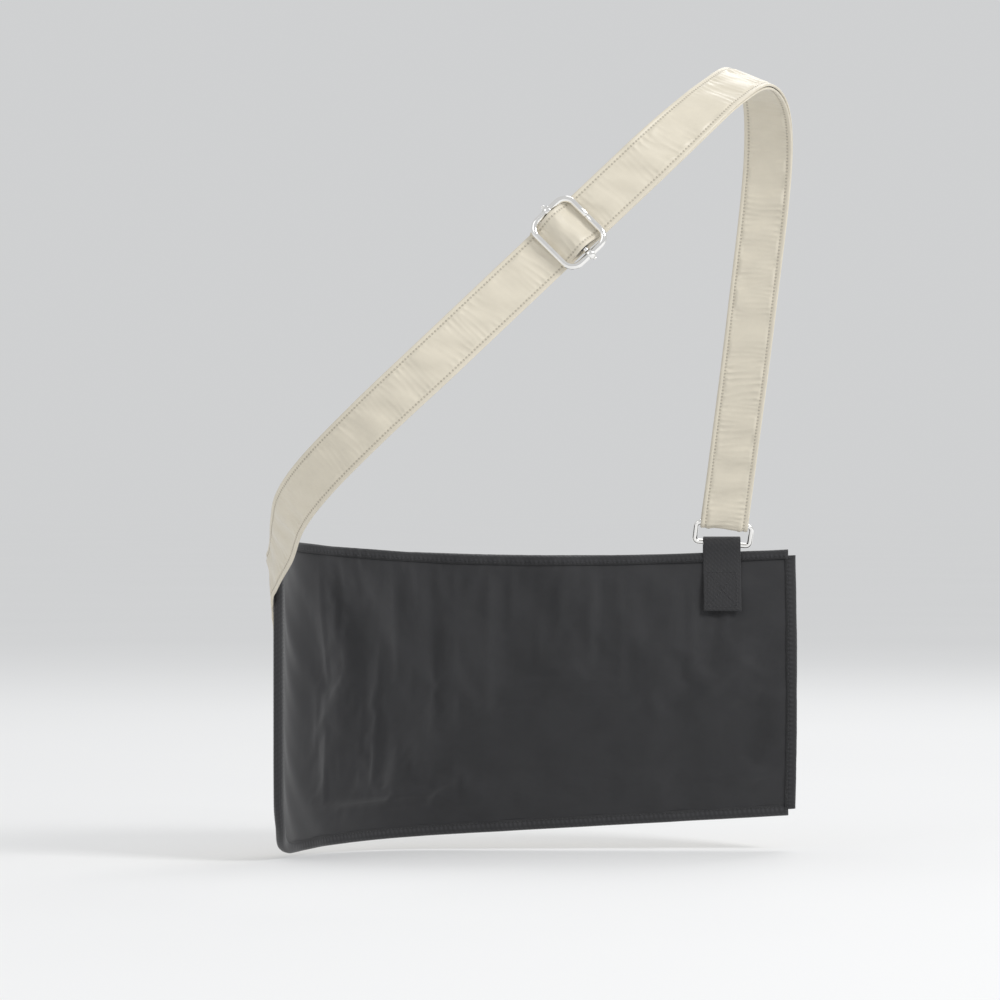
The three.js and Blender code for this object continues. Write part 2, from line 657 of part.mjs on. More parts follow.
// The tape round one panel's edge at the open hand end.
function handBinding(name, side) {
  const steps = 8;
  const frames = Array.from({ length: steps + 1 }, (_, step) => {
    const edge = panelNode(POUCH_LENGTH, step / steps, side);
    const point = edge.point.clone().addScaledVector(edge.normal, CLOTH_MIDDLE);
    point.x -= CLEARANCE + BINDING_HEIGHT / 2;
    return { point, normal: edge.normal, across: vector(1, 0, 0) };
  });
  return named(name, ribbon(frames, BINDING_HEIGHT, -TAPE_HALF, TAPE_HALF), fabric(WEBBING_COLOUR));
}

// The webbing tab: both legs lie on the closed corner of the pouch, and its fold passes round the ring.
function handTab() {
  const ring = frameAt(ROUTE_LENGTH);
  const bar = ring.point.clone().addScaledVector(ring.tangent, RING_BAR_SPACING);
  const loopInner = RING_WIRE_RADIUS + TAB_LOOP_PLAY;
  const legInner = POUCH_SEAM_HALF_THICKNESS + TAB_LEG_CLEARANCE;
  const legTop = bar.z - TAB_LEG_BELOW_RING;
  const legBottom = legTop - TAB_LEG_LENGTH;
  const frames = [];
  const add = (y, z, normal, inner) =>
    frames.push({
      point: vector(bar.x, y, z).addScaledVector(normal, inner),
      normal,
      across: vector(1, 0, 0),
    });
  const distance = POUCH_LENGTH - (bar.x - POUCH_HAND_X);
  const legSteps = 5;
  const leg = (side, index) => {
    const z = THREE.MathUtils.lerp(legBottom, legTop, index / legSteps);
    const rise = Math.min(1, (z - bottomZ(distance)) / (topZ(distance) - bottomZ(distance)));
    const bulge = side > 0 ? POUCH_FRONT_BULGE : POUCH_BACK_BULGE;
    const inner = legInner + bulge * fullness(distance - TAB_WIDTH / 2, rise);
    add(POUCH_FRONT_Y, z, vector(0, -side, 0), inner);
  };
  for (let index = 0; index <= legSteps; index++) leg(-1, index);
  const loopSteps = 10;
  for (let step = 0; step <= loopSteps; step++) {
    const angle = THREE.MathUtils.lerp(-0.15, Math.PI + 0.15, step / loopSteps);
    add(bar.y, bar.z, vector(0, Math.cos(angle), Math.sin(angle)), loopInner);
  }
  for (let index = legSteps; index >= 0; index--) leg(1, index);
  return named("hand_tab", ribbon(frames, TAB_WIDTH, 0, TAB_THICKNESS), fabric(WEBBING_COLOUR));
}

// The strap's far end, sewn flat on the front panel at the elbow.
function elbowPatch() {
  const node = (along, offset) => {
    const z = ELBOW_PATCH_TOP_Z - ELBOW_PATCH_SLOPE * along + offset;
    const rise = (z - bottomZ(along)) / (topZ(along) - bottomZ(along));
    return panelNode(along, rise, 1);
  };
  const strip = (from, to, halfWidth) => {
    const columns = 5;
    const rows = 4;
    return Array.from({ length: rows + 1 }, (_, row) =>
      Array.from({ length: columns + 1 }, (_, column) =>
        node(
          THREE.MathUtils.lerp(from, to, column / columns),
          THREE.MathUtils.lerp(-halfWidth, halfWidth, row / rows),
        ),
      ),
    );
  };
  const sewn = strip(ELBOW_PATCH_START, ELBOW_PATCH_LENGTH, STRAP_WIDTH / 2);
  const tack = strip(ELBOW_TACK_FROM, ELBOW_TACK_TO, STRAP_WIDTH / 2 - TACK_EDGE_MARGIN);
  const webbingHigh = CLEARANCE + WEBBING_THICKNESS;
  const satinLow = webbingHigh + LAMINATE_GAP;
  const satinHigh = satinLow + SATIN_THICKNESS;
  const tackLow = satinHigh + LAMINATE_GAP;
  return [
    named("webbing_elbow_end", gridSolid(sewn, CLEARANCE, webbingHigh), fabric(WEBBING_COLOUR)),
    named("satin_elbow_end", gridSolid(sewn, satinLow, satinHigh), satin()),
    named("elbow_bar_tack", gridSolid(tack, tackLow, tackLow + THREAD_THICKNESS), fabric(THREAD_COLOUR)),
  ];
}

function pouchBody() {
  return [
    ...panels(),
    topBinding("pouch_front_top_binding", 1),
    topBinding("pouch_back_top_binding", -1),
    bottomBinding(),
    elbowBinding(),
    handBinding("pouch_front_hand_binding", 1),
    handBinding("pouch_back_hand_binding", -1),
    handTab(),
    ...elbowPatch(),
  ];
}

// ---------- The sling ----------
const sling = new THREE.Group();
sling.name = "arm_sling";
sling.add(...strapBody(), sliderGroup(), ...strapTail(), handRing(), ...pouchBody());

export default sling;
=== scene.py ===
import json

import bmesh
import bpy
import numpy as np
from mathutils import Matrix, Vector
from mathutils.bvhtree import BVHTree


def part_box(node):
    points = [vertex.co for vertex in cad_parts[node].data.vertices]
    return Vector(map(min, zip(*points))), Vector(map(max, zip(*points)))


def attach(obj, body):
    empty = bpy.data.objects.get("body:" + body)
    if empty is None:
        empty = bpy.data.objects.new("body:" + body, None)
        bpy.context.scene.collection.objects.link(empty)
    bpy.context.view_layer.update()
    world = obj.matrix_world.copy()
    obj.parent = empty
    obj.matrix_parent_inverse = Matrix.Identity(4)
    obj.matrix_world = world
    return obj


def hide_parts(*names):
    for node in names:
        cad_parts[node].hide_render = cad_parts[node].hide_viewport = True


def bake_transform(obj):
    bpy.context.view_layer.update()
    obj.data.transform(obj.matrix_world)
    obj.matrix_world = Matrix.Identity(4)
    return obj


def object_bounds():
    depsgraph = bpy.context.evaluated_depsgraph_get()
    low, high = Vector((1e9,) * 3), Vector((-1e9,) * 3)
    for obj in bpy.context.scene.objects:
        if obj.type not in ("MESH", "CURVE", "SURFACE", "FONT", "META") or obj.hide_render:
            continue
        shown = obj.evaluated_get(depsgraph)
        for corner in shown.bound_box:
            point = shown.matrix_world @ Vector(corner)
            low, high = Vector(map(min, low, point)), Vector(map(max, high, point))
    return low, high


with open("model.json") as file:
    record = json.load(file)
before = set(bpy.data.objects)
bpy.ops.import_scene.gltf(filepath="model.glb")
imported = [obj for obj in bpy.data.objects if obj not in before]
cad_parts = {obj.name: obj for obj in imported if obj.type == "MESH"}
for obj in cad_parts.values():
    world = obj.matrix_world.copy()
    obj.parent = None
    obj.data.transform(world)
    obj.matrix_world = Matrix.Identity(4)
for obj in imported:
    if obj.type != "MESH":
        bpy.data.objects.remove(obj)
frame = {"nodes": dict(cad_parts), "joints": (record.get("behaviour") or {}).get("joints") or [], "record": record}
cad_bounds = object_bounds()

MM = 0.001

# ---------- Sizes of the looks, in metres ----------
STRAP_WIDTH = 31.75 * MM      # 1 1/4 in, the width of the CAD webbing
SATIN_WIDTH = 31.35 * MM      # the width of the CAD satin
STRAP_STEP = 0.75 * MM        # length of one cell of the strap's mesh
SATIN_THICKNESS = 0.5 * MM
FOLD_UNDER = 2.2 * MM         # how far the satin is turned under at each edge
FOLD_ROOM = 0.25 * MM         # inside each turned edge
STITCH_INSET = 3.1 * MM       # from the strap's edge to a row of stitches
STITCH_PITCH = 2.35 * MM
STITCH_SHARE = 0.76           # a stitch's length on show, as a share of its pitch
THREAD_RADIUS = 0.26 * MM
STITCH_SIDES = 6              # of a stitch's mesh, round it
STITCH_RINGS = 6              # and along it
STITCH_TILT = 0.24            # how far a topstitch turns from its row
STITCH_SINK = 0.08 * MM       # how far a topstitch is drawn into the satin
NEEDLE_HOLE_SHADE_RADII = (0.28 * MM, 0.75 * MM)  # of the painted shade at a needle hole: its dark middle, and its pale rim where it ends
TACK_PITCH = 0.55 * MM
TACK_HALF_LENGTH = 2 * MM
TACK_HALF_WIDTH = 11 * MM
TACK_LIFT = 0.15 * MM
ELBOW_TACK_PLACE = 27 * MM    # from the edge of the pouch
TAIL_TACK_PLACE = 16 * MM     # from the end of the tail
GROOVE_DEPTH = 0.3 * MM
GROOVE_WIDTH = 0.55 * MM
EDGE_ROLL_HEIGHT = 0.22 * MM  # of the swelling between a row of stitches and the strap's edge
EDGE_ROLL_PLACE = 1.3 * MM
EDGE_ROLL_WIDTH = 0.9 * MM
PUCKER_DEPTH = 0.5 * MM
RELIEF_LIMIT = 0.85 * MM      # the furthest that the satin's face stands from flat
WEBBING_WIDTH = 29.75 * MM    # the woven backing lies inside the satin's turned edges
WEBBING_DEPTH = 1.45 * MM     # from the satin's face to the middle of the webbing
WEBBING_THICKNESS = 1.0 * MM
LOOP_RUNS = ("shoulder_outer_run", "front_outer_run", "ring_turn", "front_under_run", "shoulder_under_run")
SEWN_LIFT = 1.9 * MM          # from the pouch to the face of the strap sewn on it
PATCH_STEPS = 9               # of the strap's end that is sewn on the pouch
PATCH_REACH = 30 * MM         # how far out the pouch's face is looked for
SLIDER_CORNER_RADIUS = 7.5 * MM
SEAM_GAP = 0.25 * MM          # between the butted ends of the slider's wire
SEAM_EDGE = 0.25 * MM
RING_CORNER_RADIUS = 2.8 * MM
WIRE_SIDES = 28               # of a bent wire's mesh
TURNED_SIDES = 32             # of a turned part's mesh
ROD_RADIUS = 1.5 * MM         # of the slider's centre bar
ROD_EDGE = 0.2 * MM
CURL_GAP = 0.1 * MM           # between a rail of the frame and the bar's end curled round it
CURL_REACH = 1.35 * MM        # from the rail to the outside of the curl
CURL_HALF_LENGTH = 2.0 * MM
KNOB_RADIUS = 1.15 * MM       # of the cut end that stands out of a curl
KNOB_HALF_LENGTH = 1.2 * MM
KNOB_EDGE = 0.6 * MM
KNOB_STEP = 0.3 * MM
CROSSING_PLACES = (0.0, 3.0, 6.2, 9.6, 12.8, 15.2, 17.4)  # in millimetres to each side of the bar
CROSSING_RISES = (1.0, 0.93, 0.66, 0.30, 0.12, 0.07, 0.03)  # the share of its height left at each place
CROSSING_SPREAD = 0.98        # the strap draws in a little where it bends over the slider's bar
CROSSING_SHIFT = 1.0 * MM     # and lies nearer to one side rail
END_LOOP_RADIUS = 2.5 * MM    # of the strap's sewn end round the bar
END_LOOP_HALF_LENGTH = 14.9 * MM
END_LOOP_EDGE = 0.4 * MM
TAB_THICKNESS = 1.0 * MM
TAB_FULLNESS = 1.15           # its thickness here, as a share of the CAD tab's
TAB_SEAM_START = 3 * MM       # of each box of stitches, from the end of its leg
TAB_SEAM_END = 27 * MM
TAB_STITCH_LIFT = 0.1 * MM
TAPE_HEIGHT = 6 * MM          # the CAD binding's height
TAPE_FULL_THICKNESS = 5.2 * MM  # the CAD binding's thickness where it closes both panels
TAPE_FOLD = 0.4 * MM          # how far the middle of a tape's open side lies inside its edges
EDGE_TAPE_LOW = -2.2 * MM     # the open side of the tape on a panel's edge, from that edge
EDGE_TAPE_HALF = 1.6 * MM     # and half its thickness
EDGE_STITCHES_AT = -0.8 * MM
TOP_TAPE_HIGH = 4.2 * MM
HAND_TAPE_HIGH = 5.0 * MM
SEAM_TAPE_LOW = -3.4 * MM     # the same for the tape that closes both panels
SEAM_TAPE_HALF = 3.1 * MM
SEAM_STITCHES_AT = -1.9 * MM
SEAM_TAPE_HIGH = 4.4 * MM
PANEL_ROWS = 10               # rows of the CAD panels
PANEL_REACH = 60 * MM         # further than a panel stands from the pouch's guide line
PANEL_GRID = (220, 90)        # points of a panel's mesh, along it and up it
SETTLING_GRID = (130, 62)
CLOTH_THICKNESS = 1.1 * MM
LINING_DEPTHS = (2.0 * MM, 1.2 * MM)  # of both faces of the lining, behind the cloth's face
SETTLING_FRAMES = 30
POUCH_SLACK = 0.03            # the share by which the pouch's cloth is longer than the space that it hangs in
FOLD_LIMIT = 7 * MM           # the furthest that a fold stands from the CAD panel
PANEL_UNDER_TAPE = 0.012      # how far each panel runs on under its bindings, as a share of its height
POUCH_PRESSURE = 0.02
TOP_HOLD = 0.25               # how firmly the top binding holds the cloth, where a seam holds it with 1
HAND_HOLD = 0.3
SEAM_PUCKER_DEPTH = 1.1 * MM
BROAD_FOLD_DEPTH = 1.5 * MM
SHARED_FOLD_DEPTH = 1.2 * MM  # of the folds that both panels share where they lie together
CALM_LENGTH = 30 * MM         # of the hand end, where the folds die out


# ---------- Small helpers ----------
def unit(vectors):
    """The same directions, each of length 1."""
    return vectors / np.linalg.norm(vectors, axis=-1, keepdims=True)


def softened(directions, passes=8):
    """Directions along a line, each evened out with its neighbours."""
    directions = np.array(directions)
    for _ in range(passes):
        directions[1:-1] = (directions[:-2] + directions[1:-1] + directions[2:]) / 3
    return unit(directions)


def distances_along(points):
    """The distance of each point along the line through them all."""
    steps = np.linalg.norm(np.diff(points, axis=0), axis=1)
    return np.concatenate([[0], np.cumsum(steps)])


def smoothstep(low, high, x):
    """0 up to low, 1 from high on, and a smooth rise between them."""
    t = np.clip((x - low) / (high - low), 0, 1)
    return t * t * (3 - 2 * t)


def smooth_through(at, values, wanted):
    """A smooth curve through values at the places at, read at the places wanted."""
    slopes = np.gradient(values, at, axis=0)
    k = np.clip(np.searchsorted(at, wanted) - 1, 0, len(at) - 2)
    step = at[k + 1] - at[k]
    shape = (-1,) + (1,) * (values.ndim - 1)
    t, h = ((wanted - at[k]) / step).reshape(shape), step.reshape(shape)
    return (
        (2 * t**3 - 3 * t**2 + 1) * values[k]
        + (t**3 - 2 * t**2 + t) * h * slopes[k]
        + (-2 * t**3 + 3 * t**2) * values[k + 1]
        + (t**3 - t**2) * h * slopes[k + 1]
    )


def waves(along, across, lengths, lean, count, seed):
    """Soft random waves from -1 to 1, with lengths between the two given, which lean across the cloth."""
    draw = np.random.default_rng(seed)
    total = np.zeros_like(along + across)
    for _ in range(count):
        length = draw.uniform(*lengths)
        slope = draw.normal(lean, 0.35)
        total = total + np.sin(2 * np.pi * (along + slope * across) / length + draw.uniform(0, 2 * np.pi))
    return total / count


def mesh_object(name, points, faces, material, uv=None):
    """A smooth mesh, in its material's slot of the record. uv has one pair of flat coordinates per point."""
    mesh = bpy.data.meshes.new(name)
    mesh.from_pydata([tuple(p) for p in points], [], [tuple(int(i) for i in f) for f in faces])
    mesh.polygons.foreach_set("use_smooth", [True] * len(mesh.polygons))
    if uv is not None:
        corners = np.empty(len(mesh.loops), np.int32)
        mesh.loops.foreach_get("vertex_index", corners)
        layer = mesh.uv_layers.new(name="cloth")
        layer.data.foreach_set("uv", np.asarray(uv, np.float32)[corners].ravel())
    mesh.materials.append(material)
    piece = bpy.data.objects.new(name, mesh)
    bpy.context.scene.collection.objects.link(piece)
    return piece


def grid_faces(rows, columns, closed_rows=False, closed_columns=False):
    """Quads over a grid of points numbered row by row."""
    row = np.arange(rows if closed_rows else rows - 1)[:, None]
    column = np.arange(columns if closed_columns else columns - 1)[None, :]
    next_row, next_column = (row + 1) % rows, (column + 1) % columns
    corners = [row * columns + column, row * columns + next_column]
    corners += [next_row * columns + next_column, next_row * columns + column]
    return np.stack(corners, axis=-1).reshape(-1, 4)


def tube_faces(rows, columns, closed=False):
    """Faces of a tube of points numbered ring by ring. Its ends are filled, unless it closes on itself."""
    faces = grid_faces(rows, columns, closed_rows=closed, closed_columns=True).tolist()
    if not closed:
        last = (rows - 1) * columns
        faces += [list(range(columns))[::-1], [last + k for k in range(columns)]]
    return faces


def flat_places(along, across):
    """The flat coordinates of a grid, from the distances of its rows and of its columns."""
    return np.stack(np.broadcast_arrays(along[:, None], across), axis=-1).reshape(-1, 2)


# ---------- Materials ----------
class Shader:
    """A material's node tree, with its principled shader."""

    def __init__(self, name, slot=None, **inputs):
        self.material = bpy.data.materials.new(name)
        if slot:
            self.material["slot"] = slot
        self.material.use_nodes = True
        self.tree = self.material.node_tree
        self.principled = self.tree.nodes["Principled BSDF"]
        for socket, value in inputs.items():
            self.principled.inputs[socket.replace("_", " ")].default_value = value

    def node(self, kind, inputs=None, **settings):
        """A new node; an input is a value, or another node's output."""
        node = self.tree.nodes.new("ShaderNode" + kind)
        for key, value in settings.items():
            setattr(node, key, value)
        for socket, value in (inputs or {}).items():
            self.feed(node.inputs[socket], value)
        return node

    def feed(self, socket, value):
        """Gives a socket a value, or links another node's output to it."""
        if isinstance(value, bpy.types.NodeSocket):
            self.tree.links.new(value, socket)
        else:
            socket.default_value = value

    def math(self, operation, a, b=0.0, c=0.0):
        return self.node("Math", {0: a, 1: b, 2: c}, operation=operation).outputs[0]

    def blend(self, share, low, high):
        """A colour between low and high."""
        mix = self.node("Mix", {0: share, 6: low, 7: high}, data_type="RGBA")
        return mix.outputs[2]

    def cloth_place(self, scale):
        """The piece's flat coordinates in millimetres, times scale per axis."""
        place = self.node("UVMap", uv_map="cloth")
        return self.node("Mapping", {0: place.outputs[0], 3: scale}).outputs[0]

    def noise(self, place, scale, detail=2.0):
        return self.node("TexNoise", {"Vector": place, "Scale": scale, "Detail": detail}).outputs[0]

    def ribs(self, place, scale, distortion, direction):
        """Even bands, from 0 to 1."""
        inputs = {"Vector": place, "Scale": scale, "Distortion": distortion}
        return self.node("TexWave", inputs, bands_direction=direction).outputs[1]

    def bump(self, height, distance, strength=1.0, under=None):
        inputs = {"Height": height, "Distance": distance, "Strength": strength}
        if under is not None:
            inputs["Normal"] = under
        return self.node("Bump", inputs).outputs[0]

    def colour(self, value):
        self.feed(self.principled.inputs["Base Color"], value)

    def normal(self, value):
        self.feed(self.principled.inputs["Normal"], value)


def slot_colour(name):
    """The base colour of one of the record's material slots."""
    found = next(m for m in frame["record"]["materials"] if m["slot"] == name)
    return (*found["base_color"], 1.0)


def shade(colour, factor):
    """A colour made lighter or darker by a factor."""
    return (*(min(1.0, c * factor) for c in colour[:3]), 1.0)


def satin(name, slot, stitched):
    """Satin: fine crosswise ribs, soft sheen, cloudy colour, and painted shade in the needle holes where it is
    stitched.
    """
    base = slot_colour(slot)
    s = Shader(name, slot, Roughness=0.42, Sheen_Weight=0.35, Sheen_Roughness=0.35, Anisotropic=0.4)
    s.principled.inputs["Specular IOR Level"].default_value = 0.45
    flat = s.cloth_place((1, 1, 1))
    clouds = s.noise(flat, 90.0)
    slubs = s.noise(s.cloth_place((1, 7, 1)), 260.0)
    colour = s.blend(clouds, shade(base, 0.93), shade(base, 1.06))
    colour = s.blend(s.math("MULTIPLY", slubs, 0.35), colour, shade(base, 0.88))
    if stitched:
        # Painted shade: each needle hole is darkened to about a quarter of the satin's colour.
        colour = s.blend(needle_hole_shade(s), colour, shade(base, 0.27))
    s.colour(colour)
    ribs = s.node("TexWave", {"Vector": flat, "Scale": 560.0, "Distortion": 1.5, "Detail": 1.0}).outputs[1]
    s.normal(s.bump(slubs, 0.02 * MM, under=s.bump(ribs, 0.012 * MM, 0.5)))
    return s.material


def needle_hole_shade(s):
    """The mask of painted shade: 1 at the needle holes of the two rows of stitches, and 0 elsewhere."""
    split = s.node("SeparateXYZ", {0: s.node("UVMap", uv_map="cloth").outputs[0]})
    along, across = split.outputs[0], split.outputs[1]
    period = s.math("FRACT", s.math("DIVIDE", along, STITCH_PITCH))
    from_hole = s.math("MULTIPLY", s.math("ABSOLUTE", s.math("SUBTRACT", period, 0.5)), STITCH_PITCH)
    from_row = s.math("SUBTRACT", s.math("ABSOLUTE", across), STRAP_WIDTH / 2 - STITCH_INSET)
    square = s.math("MULTIPLY_ADD", from_row, from_row, s.math("MULTIPLY", from_hole, from_hole))
    gap = s.math("SQRT", square)
    middle, rim = NEEDLE_HOLE_SHADE_RADII
    return s.math("SUBTRACT", 1.0, s.node("MapRange", {0: gap, 1: middle, 2: rim}).outputs[0])


def webbing(name, slot):
    """Woven tape: herringbone ribs with painted shade between them and painted highlight on them, and a few pale
    fibres.
    """
    base = slot_colour(slot)
    s = Shader(name, slot, Roughness=0.8, Sheen_Weight=0.25, Sheen_Roughness=0.5)
    flat = s.cloth_place((1, 1, 1))
    weave_relief_and_shade = s.math("MULTIPLY", s.ribs(flat, 200.0, 0.6, "DIAGONAL"), s.ribs(flat, 320.0, 0.6, "Y"))
    fibres = s.noise(s.cloth_place((3, 1, 1)), 900.0, 4.0)
    # Painted shade and highlight: the colour follows the ribs' height, darker in the hollows and lighter on the
    # crests.
    colour = s.blend(weave_relief_and_shade, shade(base, 0.6), shade(base, 1.7))
    s.colour(s.blend(s.math("MULTIPLY", fibres, 0.15), colour, (0.12, 0.12, 0.125, 1)))
    s.normal(s.bump(weave_relief_and_shade, 0.15 * MM, 0.8))
    return s.material


def plain_cloth(name, slot):
    """A plain weave seen from near: threads over and under, with painted shade between the threads."""
    base = slot_colour(slot)
    s = Shader(name, slot, Roughness=0.85, Sheen_Weight=0.3, Sheen_Roughness=0.5)
    flat = s.cloth_place((1, 1, 1))
    weave_relief_and_shade = s.math("MAXIMUM", s.ribs(flat, 420.0, 0.8, "X"), s.ribs(flat, 420.0, 0.8, "Y"))
    clouds = s.noise(flat, 60.0)
    colour = s.blend(clouds, shade(base, 0.8), shade(base, 1.35))
    # Painted shade: the colour darkens where the weave's height is low, between the threads.
    s.colour(s.blend(weave_relief_and_shade, shade(base, 0.7), colour))
    s.normal(s.bump(weave_relief_and_shade, 0.08 * MM, 0.6))
    return s.material


def polished_metal(name):
    """Nickel plate: nearly a mirror, with faint polishing haze."""
    base = slot_colour("polished_metal")
    s = Shader(name, "polished_metal", Metallic=1.0)
    place = s.node("TexCoord").outputs["Object"]
    haze = s.noise(place, 220.0, 3.0)
    s.feed(s.principled.inputs["Roughness"], s.node("MapRange", {0: haze, 3: 0.05, 4: 0.17}).outputs[0])
    s.colour(s.blend(haze, shade(base, 1.06), shade(base, 1.18)))
    s.normal(s.bump(s.noise(place, 900.0, 2.0), 0.01 * MM, 0.4))
    return s.material


def thread(name, slot):
    """Twisted sewing thread, with painted shade in the grooves of its twist and painted highlight on its plies."""
    base = slot_colour(slot)
    s = Shader(name, slot, Roughness=0.6, Sheen_Weight=0.2)
    place = s.node("TexCoord").outputs["Object"]
    twist_relief_and_shade = s.ribs(place, 900.0, 2.0, "DIAGONAL")
    # Painted shade and highlight: the colour follows the twist's height, darker in its grooves.
    s.colour(s.blend(twist_relief_and_shade, shade(base, 0.75), shade(base, 1.15)))
    s.normal(s.bump(twist_relief_and_shade, 0.04 * MM, 0.5))
    return s.material


# ---------- Reading the CAD frame ----------
def cad_points(node):
    """The corner points of a CAD node, each once."""
    co = np.array([v.co for v in frame["nodes"][node].data.vertices])
    return np.unique(np.round(co, 7), axis=0)


def thickness_pairs(points, thickness):
    """Index pairs of points that face each other through the cloth."""
    gap = np.linalg.norm(points[:, None] - points[None], axis=2)
    return [(i, j) for i, j in np.argwhere(abs(gap - thickness) < 0.02 * MM) if i < j]


class Sections:
    """Cross-sections of a flat run: the middle of its outer face, and the directions across it and out."""

    def __init__(self, middle, across, out, spread=1.0):
        self.middle, self.across, self.out, self.spread = middle, across, out, spread
        self.at = distances_along(middle)

    @property
    def length(self):
        """The distance from the first section to the last."""
        return self.at[-1]

    def then(self, other):
        """This run followed by another, without doubling sections that lie close together."""
        keep = np.linalg.norm(other.middle - self.middle[-1], axis=1) > 0.8 * MM
        sign = 1 if other.across[0] @ self.across[-1] > 0 else -1
        return Sections(
            np.concatenate([self.middle, other.middle[keep]]),
            np.concatenate([self.across, sign * other.across[keep]]),
            np.concatenate([self.out, other.out[keep]]),
        )

    def read(self, wanted):
        """Middles and directions at the distances wanted."""
        out = unit(smooth_through(self.at, self.out, wanted))
        middle = smooth_through(self.at, self.middle, wanted)
        across = smooth_through(self.at, self.across, wanted)
        across = unit(across - (across * out).sum(1, keepdims=True) * out)
        return middle, across * self.spread, out

    def between(self, start, end, step=STRAP_STEP):
        """The same run read at even steps between two distances, and those distances."""
        wanted = np.linspace(start, end, max(2, int(round((end - start) / step)) + 1))
        return wanted, *self.read(wanted)

    def nearest(self, point, end):
        """Distance along of the section nearest to a point, looking no further than end."""
        wanted = np.linspace(0, end, 2000)
        middle = smooth_through(self.at, self.middle, wanted)
        return wanted[np.argmin(np.linalg.norm(middle - np.array(point), axis=1))]


def flat_sections(node, thickness, width, start, inside):
    """Sections of a flat CAD run, from the end nearest to start. inside is a point behind that end."""
    points = cad_points(node)
    pairs = thickness_pairs(points, thickness)
    middles = np.array([(points[i] + points[j]) / 2 for i, j in pairs])
    gap = np.linalg.norm(middles[:, None] - middles[None], axis=2)
    rows = []
    for a, b in np.argwhere(abs(gap - width) < 0.01 * MM):
        if a < b:
            out = unit(points[pairs[a][1]] - points[pairs[a][0]])
            rows.append(((middles[a] + middles[b]) / 2, unit(middles[b] - middles[a]), out))
    return chained(rows, np.array(start), np.array(inside), thickness)


def strap_run(run, start):
    """Sections of one run of the strap, whose webbing lies on its inner side."""
    backing = cad_points("webbing_" + run)
    near_start = np.argsort(np.linalg.norm(backing - np.array(start), axis=1))[:4]
    inside = backing[near_start].mean(0)
    return flat_sections("satin_" + run, SATIN_THICKNESS, SATIN_WIDTH, start, inside)


def chained(rows, start, inside, thickness):
    """Sections from rows of (middle, across, out), put in order, with across and out kept to one side."""
    left = list(rows)
    place, ordered = start, []
    while left:
        nearest = min(range(len(left)), key=lambda k: np.linalg.norm(left[k][0] - place))
        middle, across, out = left.pop(nearest)
        if ordered:
            across = across * np.sign(across @ ordered[-1][1])
            out = out * np.sign(out @ ordered[-1][2])
        else:
            out = out * np.sign(out @ (middle - inside))
        ordered.append((middle, across, out))
        place = middle
    middle, across, out = (np.array(column) for column in zip(*ordered))
    return Sections(middle + out * thickness / 2, across, out)


# ---------- Cloth strips ----------
def strip_profile():
    """Offsets across and heights above the run's face, from one turned-under edge to the other."""
    half = STRAP_WIDTH / 2
    fold = SATIN_THICKNESS + FOLD_ROOM
    turn = np.linspace(-np.pi / 2, np.pi / 2, 9)
    edge_across = half - fold + fold * np.cos(turn)
    edge_height = fold * np.sin(turn) - fold
    flat = np.linspace(half - fold, -(half - fold), 45)[1:-1]
    across = np.concatenate([[half - FOLD_UNDER], edge_across, flat, -edge_across[::-1], [FOLD_UNDER - half]])
    height = np.concatenate([[-2 * fold], edge_height, 0 * flat, edge_height[::-1], [-2 * fold]])
    return across, height


def topstitched_relief(along, across):
    """How far the satin's face stands from flat: grooves at the rows of stitches and puckers between them."""
    from_row = abs(abs(across) - (STRAP_WIDTH / 2 - STITCH_INSET))
    groove = -GROOVE_DEPTH * np.exp(-((from_row / GROOVE_WIDTH) ** 2))
    dimple = 0.5 + 0.5 * np.cos(2 * np.pi * (along / STITCH_PITCH - 0.5))
    groove = groove * (0.55 + 0.45 * dimple)
    from_roll = abs(across) - (STRAP_WIDTH / 2 - EDGE_ROLL_PLACE)
    edge_roll = EDGE_ROLL_HEIGHT * np.exp(-((from_roll / EDGE_ROLL_WIDTH) ** 2))
    between = smoothstep(0, 2.5 * MM, STRAP_WIDTH / 2 - STITCH_INSET - abs(across))
    fine = creases(waves(along, across, (6 * MM, 13 * MM), 0.05, 7, seed=1))
    broad = waves(along, across, (16 * MM, 38 * MM), 0.2, 5, seed=2)
    patchy = 0.6 + 0.8 * waves(along, 0 * across, (50 * MM, 130 * MM), 0.0, 3, seed=3)
    near_row = np.exp(-((from_row / (4.0 * MM)) ** 2))
    puckers = PUCKER_DEPTH * (fine * (1.7 * near_row + 0.6) * patchy + 2.6 * broad)
    return groove + edge_roll + between * RELIEF_LIMIT * np.tanh(puckers / RELIEF_LIMIT)


def creases(wave):
    """Turns a soft wave into rounded crests with narrow creases between them."""
    return 1 - 2 * abs(wave) ** 0.7


def satin_strip(name, sections, start, end, material):
    """The satin of one stretch of strap, with turned-under edges."""
    wanted, middle, across, out = sections.between(start, end)
    offset, height = strip_profile()
    along = wanted[:, None] + 0 * offset
    on_face = height > -0.3 * MM
    rise = height + topstitched_relief(along, offset + 0 * along) * on_face
    points = middle[:, None] + offset[:, None] * across[:, None] + rise[..., None] * out[:, None]
    faces = grid_faces(len(wanted), len(offset))
    return mesh_object(name, points.reshape(-1, 3), faces, material, flat_places(wanted, offset))


